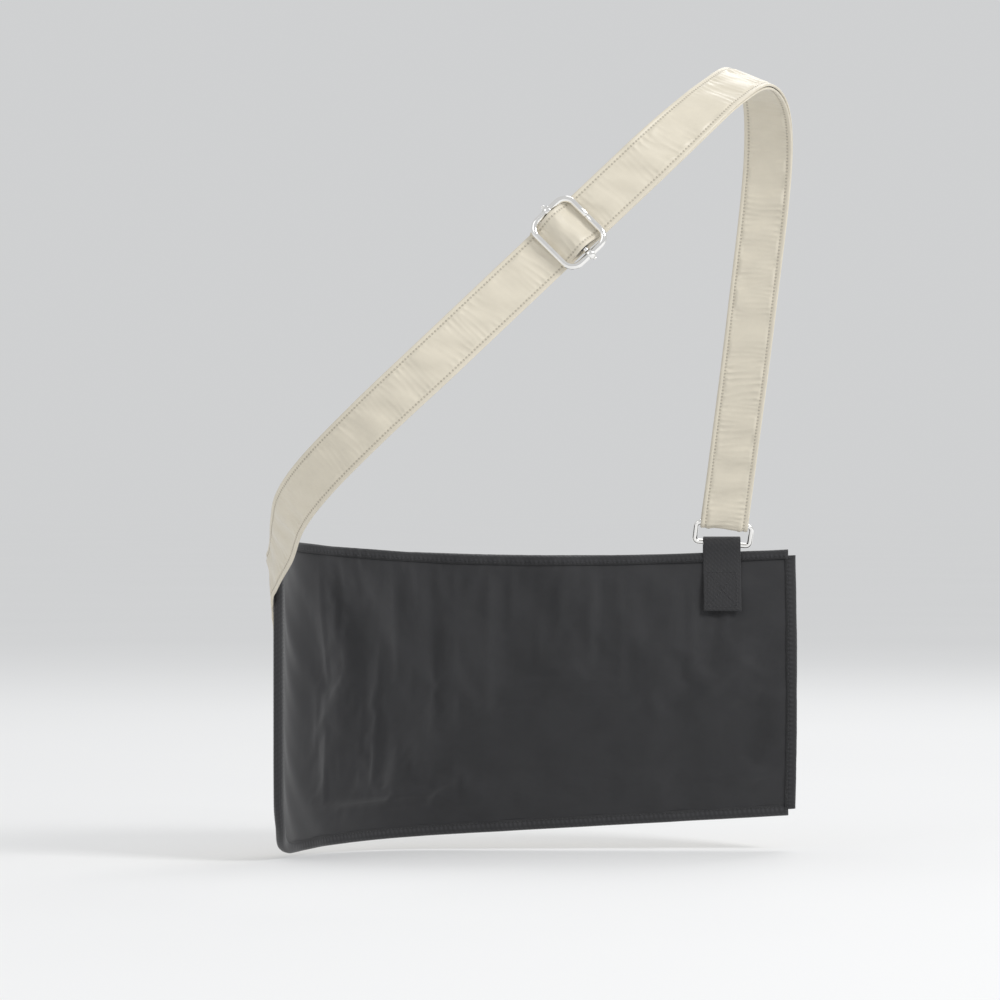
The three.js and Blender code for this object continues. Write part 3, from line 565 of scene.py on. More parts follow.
def webbing_strip(
    name, sections, start, end, material,
    width=WEBBING_WIDTH, depth=WEBBING_DEPTH, thickness=WEBBING_THICKNESS,
):
    """A flat woven band with rounded edges and closed ends, whose middle lies depth below the run's face."""
    wanted, middle, across, out = sections.between(start, end, 2 * STRAP_STEP)
    half, round_off = width / 2, thickness / 2
    turn = np.linspace(-np.pi / 2, np.pi / 2, 7)
    edge = half - round_off + round_off * np.cos(turn)
    flat = np.linspace(half - round_off, -(half - round_off), 9)[1:-1]
    offset = np.concatenate([edge, flat, -edge[::-1], -flat])
    height = np.concatenate([round_off * np.sin(turn), 0 * flat + round_off])
    height = np.concatenate([height, round_off * np.sin(turn[::-1]), 0 * flat - round_off]) - depth
    points = middle[:, None] + offset[:, None] * across[:, None] + height[:, None] * out[:, None]
    faces = tube_faces(len(wanted), len(offset))
    return mesh_object(name, points.reshape(-1, 3), faces, material, flat_places(wanted, offset))


def capsule(length, radius):
    """Points and faces of one stitch lying along X, thinner at both ends."""
    share = np.linspace(-1, 1, STITCH_RINGS)
    turn = 2 * np.pi * np.arange(STITCH_SIDES) / STITCH_SIDES
    thick = radius * np.sqrt(np.clip(1 - share**2 * 0.97, 0, 1)) ** 0.6
    rings = zip(share * length / 2, thick)
    points = [(place, size * np.cos(a), size * np.sin(a)) for place, size in rings for a in turn]
    return np.array(points), tube_faces(STITCH_RINGS, STITCH_SIDES)


def stitch_mesh(name, places, tangents, normals, material, length):
    """One stitch at each place, lying along its tangent."""
    shape, shape_faces = capsule(length, THREAD_RADIUS)
    sides = unit(np.cross(normals, tangents))
    points = (
        places[:, None]
        + shape[None, :, :1] * tangents[:, None]
        + shape[None, :, 1:2] * sides[:, None]
        + shape[None, :, 2:] * normals[:, None]
    )
    faces = [[i + k * len(shape) for i in f] for k in range(len(places)) for f in shape_faces]
    return mesh_object(name, points.reshape(-1, 3), faces, material)


def stitched(name, sections, lines, material, lift, tilt=0.0):
    """Stitches along lines of (along, across) points on a run of cloth, one for each step of a line."""
    places, tangents, normals = [], [], []
    for line in lines:
        line = np.array(line)
        middle, across, out = sections.read(line[:, 0])
        points = middle + across * line[:, 1:] + out * lift
        steps = points[1:] - points[:-1]
        places.append((points[1:] + points[:-1]) / 2)
        normals.append(unit(out[1:] + out[:-1]))
        tangents.append(unit(unit(steps) + tilt * np.cross(normals[-1], unit(steps))))
    length = STITCH_SHARE * np.linalg.norm(steps, axis=1).mean()
    gathered = [np.concatenate(parts) for parts in (places, tangents, normals)]
    return stitch_mesh(name, *gathered, material, length)


def topstitching(name, sections, start, end, material):
    """Both rows of stitches along one stretch of strap."""
    numbers = np.arange(np.ceil(start / STITCH_PITCH), np.floor(end / STITCH_PITCH) + 1)
    side = STRAP_WIDTH / 2 - STITCH_INSET
    lines = [[(number * STITCH_PITCH, sign * side) for number in numbers] for sign in (-1, 1)]
    return stitched(name, sections, lines, material, -STITCH_SINK, STITCH_TILT)


def straight_seam(start, end):
    """A line of even stitches between two (along, across) points."""
    start, end = np.array(start), np.array(end)
    count = max(1, int(round(np.linalg.norm(end - start) / STITCH_PITCH)))
    return [start + (end - start) * k / count for k in range(count + 1)]


def box_seam(start, end, half):
    """A box of stitches with a cross in it."""
    low, high = (start, -half), (end, half)
    left, right = (start, half), (end, -half)
    corners = [(low, right), (right, high), (high, left), (left, low), (low, high), (left, right)]
    return [straight_seam(*pair) for pair in corners]


def bar_tack(at):
    """A dense zigzag across the cloth."""
    offsets = np.arange(-TACK_HALF_WIDTH, TACK_HALF_WIDTH, TACK_PITCH)
    return [[(at + TACK_HALF_LENGTH * (-1) ** k, offset) for k, offset in enumerate(offsets)]]


def band(name, sections, start, end, materials):
    """Satin, webbing and stitches of one stretch of strap."""
    return [
        satin_strip(name + "_satin", sections, start, end, materials["satin"]),
        webbing_strip(name + "_webbing", sections, start, end, materials["webbing"]),
        topstitching(name + "_stitches", sections, start, end, materials["thread"]),
    ]


# ---------- Metal parts ----------
class Axes:
    """A part's own place: origin, and directions x, y and z."""

    def __init__(self, origin, x, y, z):
        self.origin, self.basis = np.array(origin), np.array([x, y, z])

    def out(self, local):
        """World places of local points."""
        return self.origin + np.asarray(local) @ self.basis

    def into(self, world):
        """Local places of world points."""
        return (np.asarray(world) - self.origin) @ self.basis.T


def flat_part_axes(node, along, outward):
    """Axes of a flat ring, and half its size. y lies along the given direction, and z outward."""
    points = cad_points(node)
    middle = (points.min(0) + points.max(0)) / 2
    spread = np.linalg.svd(points - points.mean(0), full_matrices=False)[2]
    z = spread[2] * np.sign(spread[2] @ np.array(outward))
    y = unit(np.array(along) - (np.array(along) @ z) * z)
    axes = Axes(middle, np.cross(y, z), y, z)
    local = axes.into(points)
    axes.origin = axes.out((local.min(0) + local.max(0)) / 2)
    half = (local.max(0) - local.min(0)) / 2
    return axes, half


def rounded_rectangle(half_x, half_y, radius, gap=0.0):
    """Points of a rounded rectangle in a plane, which start and end in the middle of the end bar at -y."""
    inner_x, inner_y = half_x - radius, half_y - radius
    points = [(gap / 2, -half_y), (inner_x * 0.5, -half_y)]
    for right, up, start in ((1, -1, -90), (1, 1, 0), (-1, 1, 90), (-1, -1, 180)):
        x, y = right * inner_x, up * inner_y
        for angle in np.radians(start + np.linspace(0, 90, 13)):
            points.append((x + radius * np.cos(angle), y + radius * np.sin(angle)))
    points += [(-inner_x * 0.5, -half_y), (-gap / 2, -half_y)]
    return np.array([(x, y, 0.0) for x, y in points])


def tube(name, axes, path, radii, material, closed=False):
    """A round bar along a flat path, in the part's own axes."""
    if closed:
        tangent = np.roll(path, -1, axis=0) - np.roll(path, 1, axis=0)
    else:
        tangent = np.gradient(path, axis=0)
    side = unit(np.cross(unit(tangent), (0, 0, 1)))
    turn = 2 * np.pi * np.arange(WIRE_SIDES) / WIRE_SIDES
    ring = np.cos(turn)[None, :, None] * side[:, None] + np.sin(turn)[None, :, None] * np.array([0, 0, 1.0])
    points = path[:, None] + np.broadcast_to(radii, len(path))[:, None, None] * ring
    faces = tube_faces(len(path), WIRE_SIDES, closed)
    return mesh_object(name, axes.out(points.reshape(-1, 3)), faces, material)


def lathe(name, axes, origin, axis, profile, material, closed=False):
    """A turned shape: profile is (radius, distance along axis) pairs, in the part's own axes."""
    axis = np.array(axis, float)
    first = unit(np.cross(axis, (0.3, 0.5, 0.8)))
    second = np.cross(axis, first)
    turn = 2 * np.pi * np.arange(TURNED_SIDES) / TURNED_SIDES
    around = np.cos(turn)[:, None] * first + np.sin(turn)[:, None] * second
    profile = np.array(profile)
    points = np.array(origin) + profile[:, 0, None, None] * around[None] + profile[:, 1, None, None] * axis
    faces = tube_faces(len(profile), TURNED_SIDES, closed)
    return mesh_object(name, axes.out(points.reshape(-1, 3)), faces, material)


def rounded_bar_profile(radius, half_length, edge):
    """A cylinder's profile with rounded rims."""
    turn = np.linspace(0, np.pi / 2, 5)
    low = [(radius - edge + edge * np.sin(a), -half_length + edge - edge * np.cos(a)) for a in turn]
    high = [(r, -d) for r, d in reversed(low)]
    return low + high


def joined(name, pieces):
    """Several meshes with one material as one object."""
    with bpy.context.temp_override(active_object=pieces[0], selected_editable_objects=pieces):
        bpy.ops.object.join()
    pieces[0].name = name
    return pieces[0]


# ---------- The strap ----------
def elbow_patch_sections(strap_end, strap_direction):
    """Sections of the strap's sewn end, which lies on the pouch's front, from its far end to the strap."""
    panel = BVHTree.FromObject(frame["nodes"]["pouch_front_panel"], bpy.context.evaluated_depsgraph_get())
    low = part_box("satin_elbow_end")[0]
    direction = unit(strap_direction * np.array((0, 1, 1)))
    stride = (strap_end[1] - low.y) / abs(direction[1]) / PATCH_STEPS
    place, rows = strap_end, []
    outward = np.array((1.0, 0, 0))
    for _ in range(PATCH_STEPS):
        place = place + direction * stride
        point, normal, _, _ = panel.ray_cast(Vector(place + outward * PATCH_REACH), Vector(-outward))
        if point is None:
            continue
        outward = np.array(normal)
        place = np.array(point) + outward * SEWN_LIFT
        direction = unit(direction - (direction @ outward) * outward)
        rows.append((place, unit(np.cross(direction, outward)), outward))
    middle, across, out = (np.array(column)[::-1] for column in zip(*rows))
    return Sections(middle, across, out)


def strap_sections():
    """The whole strap, from its sewn elbow end over the shoulder and round the ring to the slider, with the
    distance along at which each run ends."""
    back = strap_run("back_run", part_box("satin_elbow_end")[1])
    whole = elbow_patch_sections(back.middle[0], unit(back.middle[0] - back.middle[2]))
    ends = {"patch": whole.length}
    whole = whole.then(back)
    ends["back_run"] = whole.length
    for run in (*LOOP_RUNS, "tail"):
        whole = whole.then(strap_run(run, whole.middle[-1]))
        ends[run] = whole.length
    return whole, ends


def make_strap(materials, whole, ends, hidden):
    """The strap in three stretches: up the back, over the shoulder and round the ring, and the sewn tail."""
    back = band("strap_back", whole, 0, hidden, materials)
    loop = band("strap_loop", whole, hidden, ends["shoulder_under_run"], materials)
    under = band("strap_under", whole, ends["shoulder_under_run"], whole.length, materials)
    tacks = (
        ("elbow_tack", ends["patch"] - ELBOW_TACK_PLACE, "pouch", "elbow_bar_tack"),
        ("tail_tack", whole.length - TAIL_TACK_PLACE, "slider_bar", "tail_bar_tack"),
    )
    for name, at, body, node in tacks:
        tack = stitched(name, whole, bar_tack(at), materials["thread"], TACK_LIFT)
        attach(tack, body)
        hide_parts(node)
    for piece in back:
        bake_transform(piece)
    for piece in loop:
        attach(piece, "strap")
    for piece in under:
        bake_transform(piece)
    for k, layer in enumerate(("satin_", "webbing_")):
        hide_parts(*(layer + run for run in ("back_run", *LOOP_RUNS)))
        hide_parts(layer + "elbow_end")
        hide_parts(layer + "tail")


def whole_point(sections, at):
    """The middle of a run's face at a distance along it."""
    return Vector(smooth_through(sections.at, sections.middle, np.array([at]))[0])


# ---------- The slider ----------
def make_slider(metal, axes, half):
    """The polished frame with its butt seam, and the centre bar with curled ends and small knobs."""
    wire = half[2]
    long_side, end_bar = half[0] - wire, half[1] - wire
    path = rounded_rectangle(long_side, end_bar, SLIDER_CORNER_RADIUS, SEAM_GAP)
    edge = (SEAM_EDGE, 0, 0)
    path = np.concatenate([path[:1], path[:1] + edge, path[1:-1], path[-1:] - edge, path[-1:]])
    radii = np.full(len(path), wire)
    radii[[0, -1]] = wire - SEAM_EDGE
    outline = tube("slider_outline", axes, path, radii, metal)
    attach(outline, "slider_frame")
    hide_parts("slider_frame")
    curl_outer = wire + CURL_REACH
    middle, thick = (wire + CURL_GAP + curl_outer) / 2, (curl_outer - wire - CURL_GAP) / 2
    turn = np.linspace(0, 2 * np.pi, 17)[:-1]
    curl = [(middle + thick * np.cos(a), CURL_HALF_LENGTH * np.sin(a)) for a in turn]
    knob = rounded_bar_profile(KNOB_RADIUS, KNOB_HALF_LENGTH, KNOB_EDGE)
    rod = rounded_bar_profile(ROD_RADIUS, long_side - wire, ROD_EDGE)
    pieces = [lathe("slider_rod", axes, (0, 0, 0), (1, 0, 0), rod, metal)]
    for side in (-1, 1):
        rail = (side * long_side, 0, 0)
        pieces.append(lathe("curl", axes, rail, (0, 1, 0), curl, metal, closed=True))
        knob_place = ((long_side + curl_outer) * side, KNOB_STEP * side, 0)
        pieces.append(lathe("knob", axes, knob_place, (1, 0, 0), knob, metal))
    bar = joined("slider_bar_with_curls", pieces)
    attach(bar, "slider_bar")
    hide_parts("slider_centre_bar")


def crossing_sections(axes, whole, hidden):
    """The strap where it climbs over the slider's bar, in a line that tucks under both end bars."""
    face = axes.into(whole_point(whole, hidden))
    top = axes.into(cad_points("strap_bar_crossing"))[:, 2].max()
    rise = top - face[2]
    places, shares = np.array(CROSSING_PLACES) * MM, np.array(CROSSING_RISES)
    along = np.concatenate([-places[:0:-1], places])
    share = np.concatenate([shares[:0:-1], shares])
    fine = np.linspace(along[0], along[-1], 60)
    height = face[2] + rise * smooth_through(along, share, fine)
    middle = axes.out(np.stack([0 * fine + face[0] + CROSSING_SHIFT, fine, height], axis=-1))
    tangent = unit(np.gradient(middle, axis=0))
    across = np.repeat([axes.basis[0]], len(fine), axis=0)
    out = unit(np.cross(across, tangent))
    out = out * np.sign(out @ axes.basis[2])[:, None]
    return Sections(middle, across, out, spread=CROSSING_SPREAD)


def make_crossing(materials, axes, whole, hidden):
    """The strap over the slider's bar, and the strap's end that loops round the bar."""
    sections = crossing_sections(axes, whole, hidden)
    crossing = band("crossing", sections, 0, sections.length, materials)
    place = (axes.into(whole_point(whole, hidden))[0], 0, 0)
    profile = rounded_bar_profile(END_LOOP_RADIUS, END_LOOP_HALF_LENGTH, END_LOOP_EDGE)
    loop = lathe("end_loop", axes, place, (1, 0, 0), profile, materials["webbing"])
    for piece in [*crossing, loop]:
        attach(piece, "slider_bar")
    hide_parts("strap_bar_crossing")
    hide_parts("strap_end_loop")


# ---------- The ring and its tab ----------
def make_ring(metal):
    """The wire ring that joins the strap's fold to the pouch's tab."""
    hinge = next(j for j in frame["joints"] if j["name"] == "ring_tilt")
    low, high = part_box("hand_ring")
    along = np.array((low + high) / 2) - np.array(hinge["pos_m"])
    axes, half = flat_part_axes("hand_ring", along, (0, -1, 0))
    path = rounded_rectangle(half[0] - half[2], half[1] - half[2], RING_CORNER_RADIUS)[:-1]
    ring = tube("ring", axes, path, half[2], metal, closed=True)
    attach(ring, "hand_ring")
    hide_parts("hand_ring")


def make_tab(materials):
    """The webbing tab round the ring, with a boxed cross sewn through each leg."""
    low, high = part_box("hand_tab")
    middle_x, width = (low.x + high.x) / 2, high.x - low.x
    start, inside = (middle_x, low.y, low.z), (middle_x, high.y, low.z)
    sections = flat_sections("hand_tab", TAB_THICKNESS, width, start, inside)
    length, thickness = sections.length, TAB_THICKNESS * TAB_FULLNESS
    tab = webbing_strip("tab", sections, 0, length, materials["webbing"], width, TAB_THICKNESS / 2, thickness)
    half = width / 2 - TAB_SEAM_START
    seams = box_seam(TAB_SEAM_START, TAB_SEAM_END, half)
    seams += box_seam(length - TAB_SEAM_END, length - TAB_SEAM_START, half)
    sewn = stitched("tab_stitches", sections, seams, materials["dark_thread"], TAB_STITCH_LIFT)
    for piece in (tab, sewn):
        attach(piece, "pouch")
    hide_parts("hand_tab")


# ---------- The pouch ----------
class Guide:
    """The level line that the pouch follows, from its elbow end to its open hand end."""

    def __init__(self):
        elbow_side, inside = (0.3, 0, -0.4), (0, 0, -0.4)
        run = flat_sections("pouch_bottom_binding", TAPE_FULL_THICKNESS, TAPE_HEIGHT, elbow_side, inside)
        middle = run.middle - run.out * TAPE_FULL_THICKNESS / 2
        elbow = np.array([[middle[0][0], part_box("pouch_front_panel")[1].y, middle[0][2]]])
        self.middle = np.concatenate([elbow, middle])
        self.out = np.concatenate([run.out[:1], run.out])
        self.middle[:, 2] = 0
        self.at = distances_along(self.middle)
        self.tangent = np.cross(self.out, (0, 0, 1.0))
        if self.tangent[0] @ (self.middle[1] - self.middle[0]) < 0:
            self.tangent = -self.tangent

    def read(self, wanted):
        """Middles and outward directions at the distances wanted."""
        return smooth_through(self.at, self.middle, wanted), unit(smooth_through(self.at, self.out, wanted))


class Panel:
    """One CAD panel of the pouch: its height and how far it stands out, over distance along and rise."""

    def __init__(self, node, guide, side):
        self.guide, self.side = guide, side
        points = cad_points(node)
        tree = BVHTree.FromObject(frame["nodes"][node], bpy.context.evaluated_depsgraph_get())
        rises = np.linspace(0, 1, PANEL_ROWS)
        ends, apart = [], []
        for k, (middle, out) in enumerate(zip(guide.middle, guide.out)):
            in_plane = abs((points - middle) @ guide.tangent[k]) < 0.05 * MM
            near = abs((points - middle)[:, :2] @ out[:2]) < PANEL_REACH
            heights = points[in_plane & near][:, 2]
            ends.append((heights.min(), heights.max()))
            inset = 0.2 * MM * ((k == 0) - 1.0 * (k == len(guide.middle) - 1))
            row = []
            for rise in rises:
                z = np.interp(rise, (0, 1), (ends[-1][0] + 0.1 * MM, ends[-1][1] - 0.1 * MM))
                start = middle + guide.tangent[k] * inset + side * out * PANEL_REACH + (0, 0, z)
                hit = tree.ray_cast(Vector(start), Vector(-side * out))[0]
                row.append(side * ((np.array(hit) - middle) @ out))
            apart.append(row)
        self.ends, self.apart, self.rises = np.array(ends), np.array(apart), rises

    def grid(self, distances, rises):
        """Points and outward normals over a grid, rows along the pouch and columns up it."""
        middle, out = self.guide.read(distances)
        # The bottom edge turns a round corner at the elbow end, so it is smooth over the distance's root.
        ends = smooth_through(np.sqrt(self.guide.at), self.ends, np.sqrt(distances))
        apart = smooth_through(self.guide.at, self.apart, distances)
        apart = smooth_through(self.rises, apart.T, np.clip(rises, 0, 1)).T
        z = ends[:, :1] + (ends[:, 1:] - ends[:, :1]) * rises
        points = middle[:, None] + self.side * apart[..., None] * out[:, None]
        points[..., 2] = z
        return points, grid_normals(points, out * self.side)


def grid_normals(points, outward):
    """Normals of a grid of points, on the side of the outward direction of each row."""
    normals = unit(np.cross(np.gradient(points, axis=0), np.gradient(points, axis=1)))
    return normals * np.sign((normals * outward[:, None]).sum(-1, keepdims=True))


def cloth_shell(name, points, normals, low, high, material, uv):
    """A closed sheet of cloth over a grid, from low to high along its normals."""
    rows, columns = points.shape[:2]
    both = np.concatenate([(points + normals * high).reshape(-1, 3), (points + normals * low).reshape(-1, 3)])
    upper = grid_faces(rows, columns)
    lower = upper[:, ::-1] + rows * columns
    at = np.arange(rows * columns).reshape(rows, columns)
    rim = np.concatenate([at[0], at[1:, -1], at[-1, -2::-1], at[-2:0:-1, 0]])
    after = np.roll(rim, -1)
    rim_faces = np.stack([after, rim, rim + rows * columns, after + rows * columns], axis=-1)
    faces = np.concatenate([upper, lower, rim_faces])
    piece = mesh_object(name, both, faces, material, np.concatenate([uv, uv]).reshape(-1, 2))
    outwards(piece)
    return piece


def outwards(piece):
    """Turns a closed mesh's faces to point out."""
    work = bmesh.new()
    work.from_mesh(piece.data)
    bmesh.ops.recalc_face_normals(work, faces=work.faces)
    work.to_mesh(piece.data)
    work.free()


def seam_puckers(along, from_edge, seed):
    """Small gathers that run square to a sewn edge and die out away from it."""
    pucker = waves(along, 0.4 * from_edge, (7 * MM, 15 * MM), 0.2, 6, seed)
    return SEAM_PUCKER_DEPTH * pucker * np.exp(-from_edge / (11 * MM))


def settled(points, held, slack, pressure):
    """A grid of cloth after it has settled with some slack. held is 1 where it is sewn and 0 where free."""
    rows, columns = points.shape[:2]
    plain = bpy.data.materials.new("settling")
    cloth = mesh_object("settling", points.reshape(-1, 3), grid_faces(rows, columns), plain)
    group = cloth.vertex_groups.new(name="held")
    for index, weight in enumerate(held.ravel()):
        group.add([index], float(weight), "REPLACE")
    modifier = cloth.modifiers.new("cloth", "CLOTH")
    cloth_settings = modifier.settings
    cloth_settings.vertex_group_mass = "held"
    cloth_settings.quality = 6
    cloth_settings.mass = 0.0006
    cloth_settings.air_damping = 4
    cloth_settings.tension_stiffness = cloth_settings.compression_stiffness = 12
    cloth_settings.shear_stiffness = 6
    cloth_settings.bending_stiffness = 0.5
    cloth_settings.shrink_min = -slack
    cloth_settings.use_pressure = True
    cloth_settings.uniform_pressure_force = pressure
    modifier.collision_settings.use_collision = False
    scene = bpy.context.scene
    modifier.point_cache.frame_start, modifier.point_cache.frame_end = 1, SETTLING_FRAMES
    for step in range(1, SETTLING_FRAMES + 1):
        scene.frame_set(step)
    ready = cloth.evaluated_get(bpy.context.evaluated_depsgraph_get())
    found = np.empty(rows * columns * 3)
    ready.data.vertices.foreach_get("co", found)
    bpy.data.objects.remove(cloth)
    scene.frame_set(1)
    return found.reshape(rows, columns, 3)


def fold_field(panel, distances, rises):
    """How far the settled cloth stands from the smooth panel, read on a finer grid."""
    length = panel.guide.at[-1]
    coarse_at = np.linspace(0, length, SETTLING_GRID[0])
    coarse_rise = np.linspace(0, 1, SETTLING_GRID[1])
    points, normals = panel.grid(coarse_at, coarse_rise)
    bottom, top = 1 - smoothstep(0, 0.05, coarse_rise), TOP_HOLD * smoothstep(0.95, 1, coarse_rise)
    elbow = 1 - smoothstep(0, 10 * MM, coarse_at)
    hand = smoothstep(0, 6 * MM, coarse_at - coarse_at[-1] + 6 * MM) * HAND_HOLD
    held = np.maximum(np.maximum(bottom, top)[None, :], np.maximum(elbow, hand)[:, None])
    moved = settled(points, np.clip(held, 0, 1), POUCH_SLACK, -POUCH_PRESSURE * panel.side)
    push = ((moved - points) * normals).sum(-1)
    push = FOLD_LIMIT * np.tanh(push / FOLD_LIMIT)
    push = smooth_through(coarse_at, push, distances)
    return smooth_through(coarse_rise, push.T, np.clip(rises, 0, 1)).T


def make_panel(name, node, lining_name, lining_node, guide, side, material, lining_material, seed):
    """One panel of the pouch, with its folds, and the lining behind it."""
    panel = Panel(node, guide, side)
    length = guide.at[-1]
    share = np.linspace(0, 1, PANEL_GRID[0])
    distances = length * (0.45 * share + 0.55 * share**2)
    rises = np.linspace(-PANEL_UNDER_TAPE, 1 + PANEL_UNDER_TAPE, PANEL_GRID[1])
    points, normals = panel.grid(distances, rises)
    height = points[..., 2] - points[:, :1, 2]
    along = distances[:, None] + 0 * rises
    line, outward = guide.read(distances)
    apart = abs(((points - line[:, None]) * outward[:, None]).sum(-1))
    room = smoothstep(3 * MM, 14 * MM, apart)
    push = fold_field(panel, distances, rises)
    near_top, near_hand = smoothstep(0.88, 1.0, rises), smoothstep(length - CALM_LENGTH, length, along)
    push = push * (1 - 0.6 * near_top) * (1 - 0.85 * near_hand)
    push = push + seam_puckers(along, abs(height), seed)
    push = push + 0.6 * seam_puckers(along, height[:, -1:] - height, seed + 1)
    broad = BROAD_FOLD_DEPTH * waves(along, height, (45 * MM, 90 * MM), 0.4, 5, seed + 2)
    shared = waves(along, height, (24 * MM, 60 * MM), 0.7, 6, seed=77)
    together = side * SHARED_FOLD_DEPTH * shared * smoothstep(0, 12 * MM, along)
    push = room * (push + broad) + (1 - room) * together
    points = points + normals * push[..., None]
    normals = grid_normals(points, outward * side)
    uv = np.stack([along, height], axis=-1)
    outer = cloth_shell(name, points, normals, -CLOTH_THICKNESS, 0, material, uv)
    low, high = (-depth for depth in LINING_DEPTHS)
    inner = cloth_shell(lining_name, points, normals, low, high, lining_material, uv)
    for piece, replaced in ((outer, node), (inner, lining_node)):
        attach(piece, "pouch")
        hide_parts(replaced)
    return outer, inner, points, normals


def taped_edge(name, node, points, across, thick, low, high, half, material):
    """A binding folded over an edge, along points and from low to high across. It is twice half thick."""
    turn = np.linspace(0, np.pi, 7)
    round_off = min(half, (high - low) / 3)
    corner = [(high - round_off + round_off * np.sin(a), half * np.cos(a)) for a in turn]
    profile = np.array([(low, half), *corner, (low, -half), (low + TAPE_FOLD, 0)])
    grid = (
        points[:, None]
        + profile[None, :, :1] * across[:, None]
        + profile[None, :, 1:] * thick[:, None]
    )
    uv = flat_places(distances_along(points), np.arange(len(profile)) * MM)
    faces = tube_faces(len(points), len(profile))
    tape = mesh_object(name, grid.reshape(-1, 3), faces, material, uv)
    outwards(tape)
    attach(tape, "pouch")
    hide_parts(node)
    return tape


def tape_stitches(name, points, across, thick, at, half, material):
    """A row of stitches along both faces of a tape, at the given distance across from its line of points."""
    along = distances_along(points)
    wanted = np.arange(STITCH_PITCH, along[-1], STITCH_PITCH)
    line = points + across * at
    middle = smooth_through(along, line, wanted)
    tangent = unit(smooth_through(along, np.gradient(line, axis=0), wanted))
    out = unit(smooth_through(along, thick, wanted))
    places = np.concatenate([middle + out * half, middle - out * half])
    normals = np.concatenate([out, -out])
    tangents = np.concatenate([tangent, tangent])
    piece = stitch_mesh(name, places, tangents, normals, material, STITCH_SHARE * STITCH_PITCH)
    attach(piece, "pouch")
    return piece


def make_pouch(materials):
    """Both panels with their linings, and the tapes that bind their edges."""
    guide = Guide()
    tape_cloth, dark_thread = materials["binding"], materials["dark_thread"]
    middles = []
    for side, face in ((1, "front"), (-1, "back")):
        outside = "pouch_satin" if face == "front" else "pouch_back_cloth"
        node, lining = f"pouch_{face}_panel", f"pouch_{face}_lining"
        cloth = (materials[outside], materials["lining"])
        outer, inner, points, normals = make_panel(
            node + "_cloth", node, lining + "_cloth", lining, guide, side, *cloth, seed=10 * side + 20
        )
        middle = points - normals * MM
        middles.append(middle)
        top = (middle[:, -1], softened(middle[:, -1] - middle[:, -3]), softened(normals[:, -1]))
        hand = (middle[-1], softened(middle[-1] - middle[-3], passes=40), softened(normals[-1]))
        edges = (("top", top, TOP_TAPE_HIGH), ("hand", hand, HAND_TAPE_HIGH))
        for edge, line, high in edges:
            names = (f"{face}_{edge}_tape", f"pouch_{face}_{edge}_binding")
            taped_edge(*names, *line, EDGE_TAPE_LOW, high, EDGE_TAPE_HALF, tape_cloth)
        for edge, line, _ in edges:
            row_name = f"{face}_{edge}_tape_stitches"
            tape_stitches(row_name, *line, EDGE_STITCHES_AT, EDGE_TAPE_HALF, dark_thread)
    between = (middles[0] + middles[1]) / 2
    edge = np.concatenate([between[0, ::-1][:-1], between[:, 0]])
    columns = between.shape[1]
    outward = unit((middles[0] - middles[1])[:, 0])
    thick = np.concatenate([np.repeat(outward[:1], columns - 1, axis=0), outward])
    away = unit(np.cross(unit(np.gradient(edge, axis=0)), thick))
    away = away * np.sign(away[-1] @ (0, 0, -1.0))
    line = (edge, away, thick)
    names = ("bottom_and_elbow_tape", "pouch_bottom_binding")
    tape = taped_edge(*names, *line, SEAM_TAPE_LOW, SEAM_TAPE_HIGH, SEAM_TAPE_HALF, tape_cloth)
    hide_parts("pouch_elbow_binding")
    tape_stitches(names[0] + "_stitches", *line, SEAM_STITCHES_AT, SEAM_TAPE_HALF, dark_thread)


# ---------- Camera, light and floor ----------
CAMERA_PLACE = (0.1572, 3.08, -0.2667)
CAMERA_LENS = 174.2
ROOM_COLOUR = (0.98, 0.99, 1.0)
ROOM_LIGHT = 0.64
FLOOR_PALENESS = 0.62         # the share of light that the floor gives back
FLOOR_RADIUS = 60.0
FLOOR_GAP = 3 * MM            # between the floor and the object's lowest point
LAMPS = (                     # name, place from the object's middle, size, power
    ("key", (-1.9, 1.5, 1.7), 1.0, 42),
    ("fill", (2.0, 2.2, 1.6), 1.8, 9),
    ("front", (-0.9, -2.2, 2.2), 1.4, 24),
)


def make_camera():
    """A long lens behind the wearer, level, looking forwards."""
    data = bpy.data.cameras.new("camera")
    data.lens, data.sensor_width = CAMERA_LENS, 36
    camera = bpy.data.objects.new("camera", data)
    camera.location = CAMERA_PLACE
    camera.rotation_euler = (np.pi / 2, 0, np.pi)
    bpy.context.scene.collection.objects.link(camera)
    bpy.context.scene.camera = camera


def area_light(name, place, target, size, power):
    """A square lamp that faces its target."""
    data = bpy.data.lights.new(name, "AREA")
    data.shape, data.size, data.energy = "SQUARE", size, power
    lamp = bpy.data.objects.new(name, data)
    lamp.location = place
    lamp.rotation_euler = (Vector(target) - Vector(place)).to_track_quat("-Z", "Y").to_euler()
    bpy.context.scene.collection.objects.link(lamp)


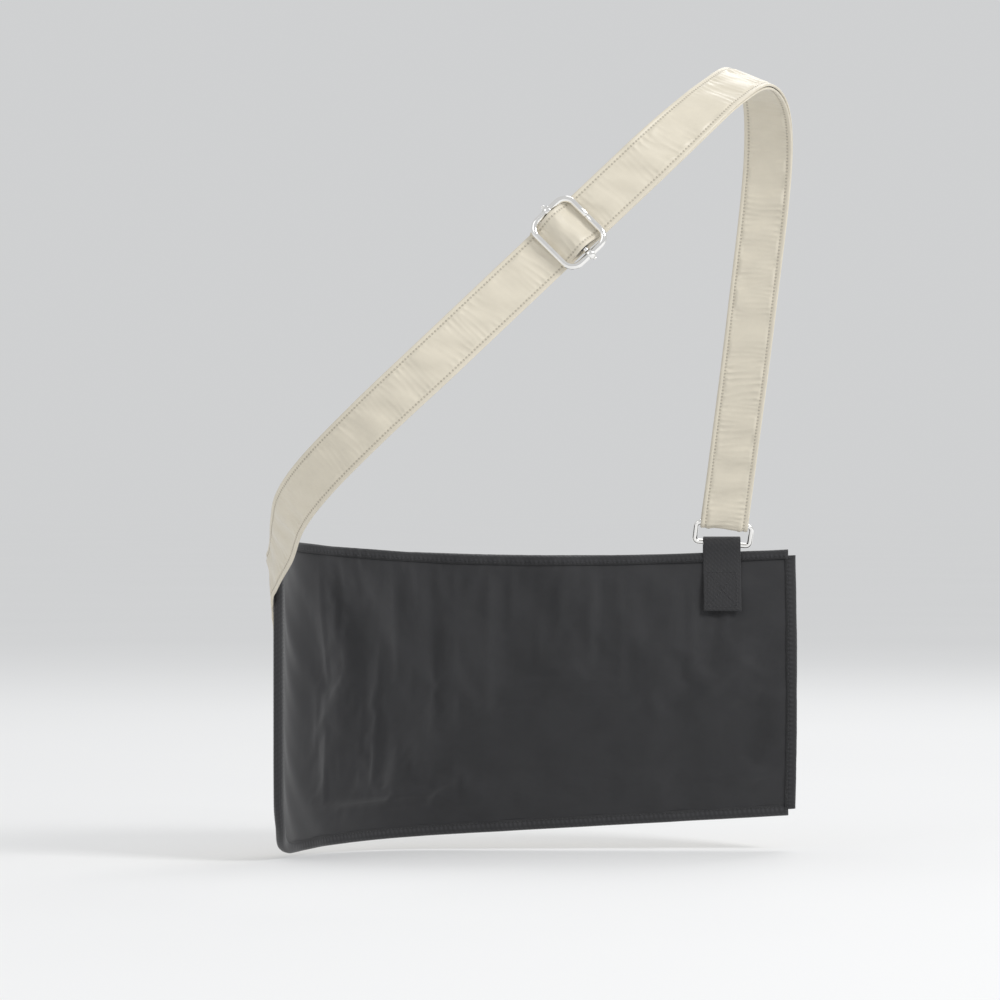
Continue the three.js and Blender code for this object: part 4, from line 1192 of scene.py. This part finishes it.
def make_light():
    """Soft studio light: a pale room, a key from the picture's upper right, a fill, and one for the front."""
    middle = (cad_bounds[0] + cad_bounds[1]) / 2
    for name, place, size, power in LAMPS:
        area_light(name, middle + Vector(place), middle, size, power)
    world = bpy.data.worlds.new("world")
    world.use_nodes = True
    background = world.node_tree.nodes["Background"]
    background.inputs[0].default_value = (*ROOM_COLOUR, 1)
    background.inputs[1].default_value = ROOM_LIGHT
    bpy.context.scene.world = world
    bpy.context.scene.view_settings.view_transform = "Standard"


def make_floor():
    """A plain pale floor. Its glow makes up for the light it swallows, so that it ends without a line."""
    floor_z = cad_bounds[0].z - FLOOR_GAP
    pale = Shader("floor", Roughness=0.9)
    cloudy = pale.noise(pale.node("TexCoord").outputs["Object"], 1.5)
    grey = (FLOOR_PALENESS,) * 3
    pale.colour(pale.blend(cloudy, shade(grey, 0.98), shade(grey, 1.02)))
    pale.principled.inputs["Specular IOR Level"].default_value = 0.0
    pale.principled.inputs["Emission Color"].default_value = (*ROOM_COLOUR, 1)
    pale.principled.inputs["Emission Strength"].default_value = (1 - FLOOR_PALENESS) * ROOM_LIGHT
    turn = np.linspace(0, 2 * np.pi, 97)[:-1]
    rim = np.stack([FLOOR_RADIUS * np.cos(turn), FLOOR_RADIUS * np.sin(turn), floor_z + 0 * turn], axis=-1)
    mesh_object("floor", rim, [range(len(rim))], pale.material)


# ---------- The whole picture ----------
materials = {
    "satin": satin("strap_satin", "satin", stitched=True),
    "webbing": webbing("strap_webbing", "webbing"),
    "thread": thread("topstitch_thread", "thread"),
    "metal": polished_metal("nickel"),
    "pouch_satin": satin("pouch_satin", "pouch_satin", stitched=False),
    "pouch_back_cloth": plain_cloth("pouch_back_cloth", "pouch_back_cloth"),
    "lining": plain_cloth("lining_cloth", "lining"),
    "dark_thread": thread("tape_thread", "binding"),
    "binding": webbing("binding_tape", "binding"),
}
slide_up = next(j for j in frame["joints"] if j["name"] == "slider_slide")["axis"]
slider_axes, slider_half = flat_part_axes("slider_frame", -np.array(slide_up), (0, 1, 0))
whole_strap, run_ends = strap_sections()
hidden_at = whole_strap.nearest(slider_axes.origin, run_ends["back_run"])
make_strap(materials, whole_strap, run_ends, hidden_at)
make_slider(materials["metal"], slider_axes, slider_half)
make_crossing(materials, slider_axes, whole_strap, hidden_at)
make_ring(materials["metal"])
make_tab(materials)
make_pouch(materials)
make_camera()
make_light()
make_floor()
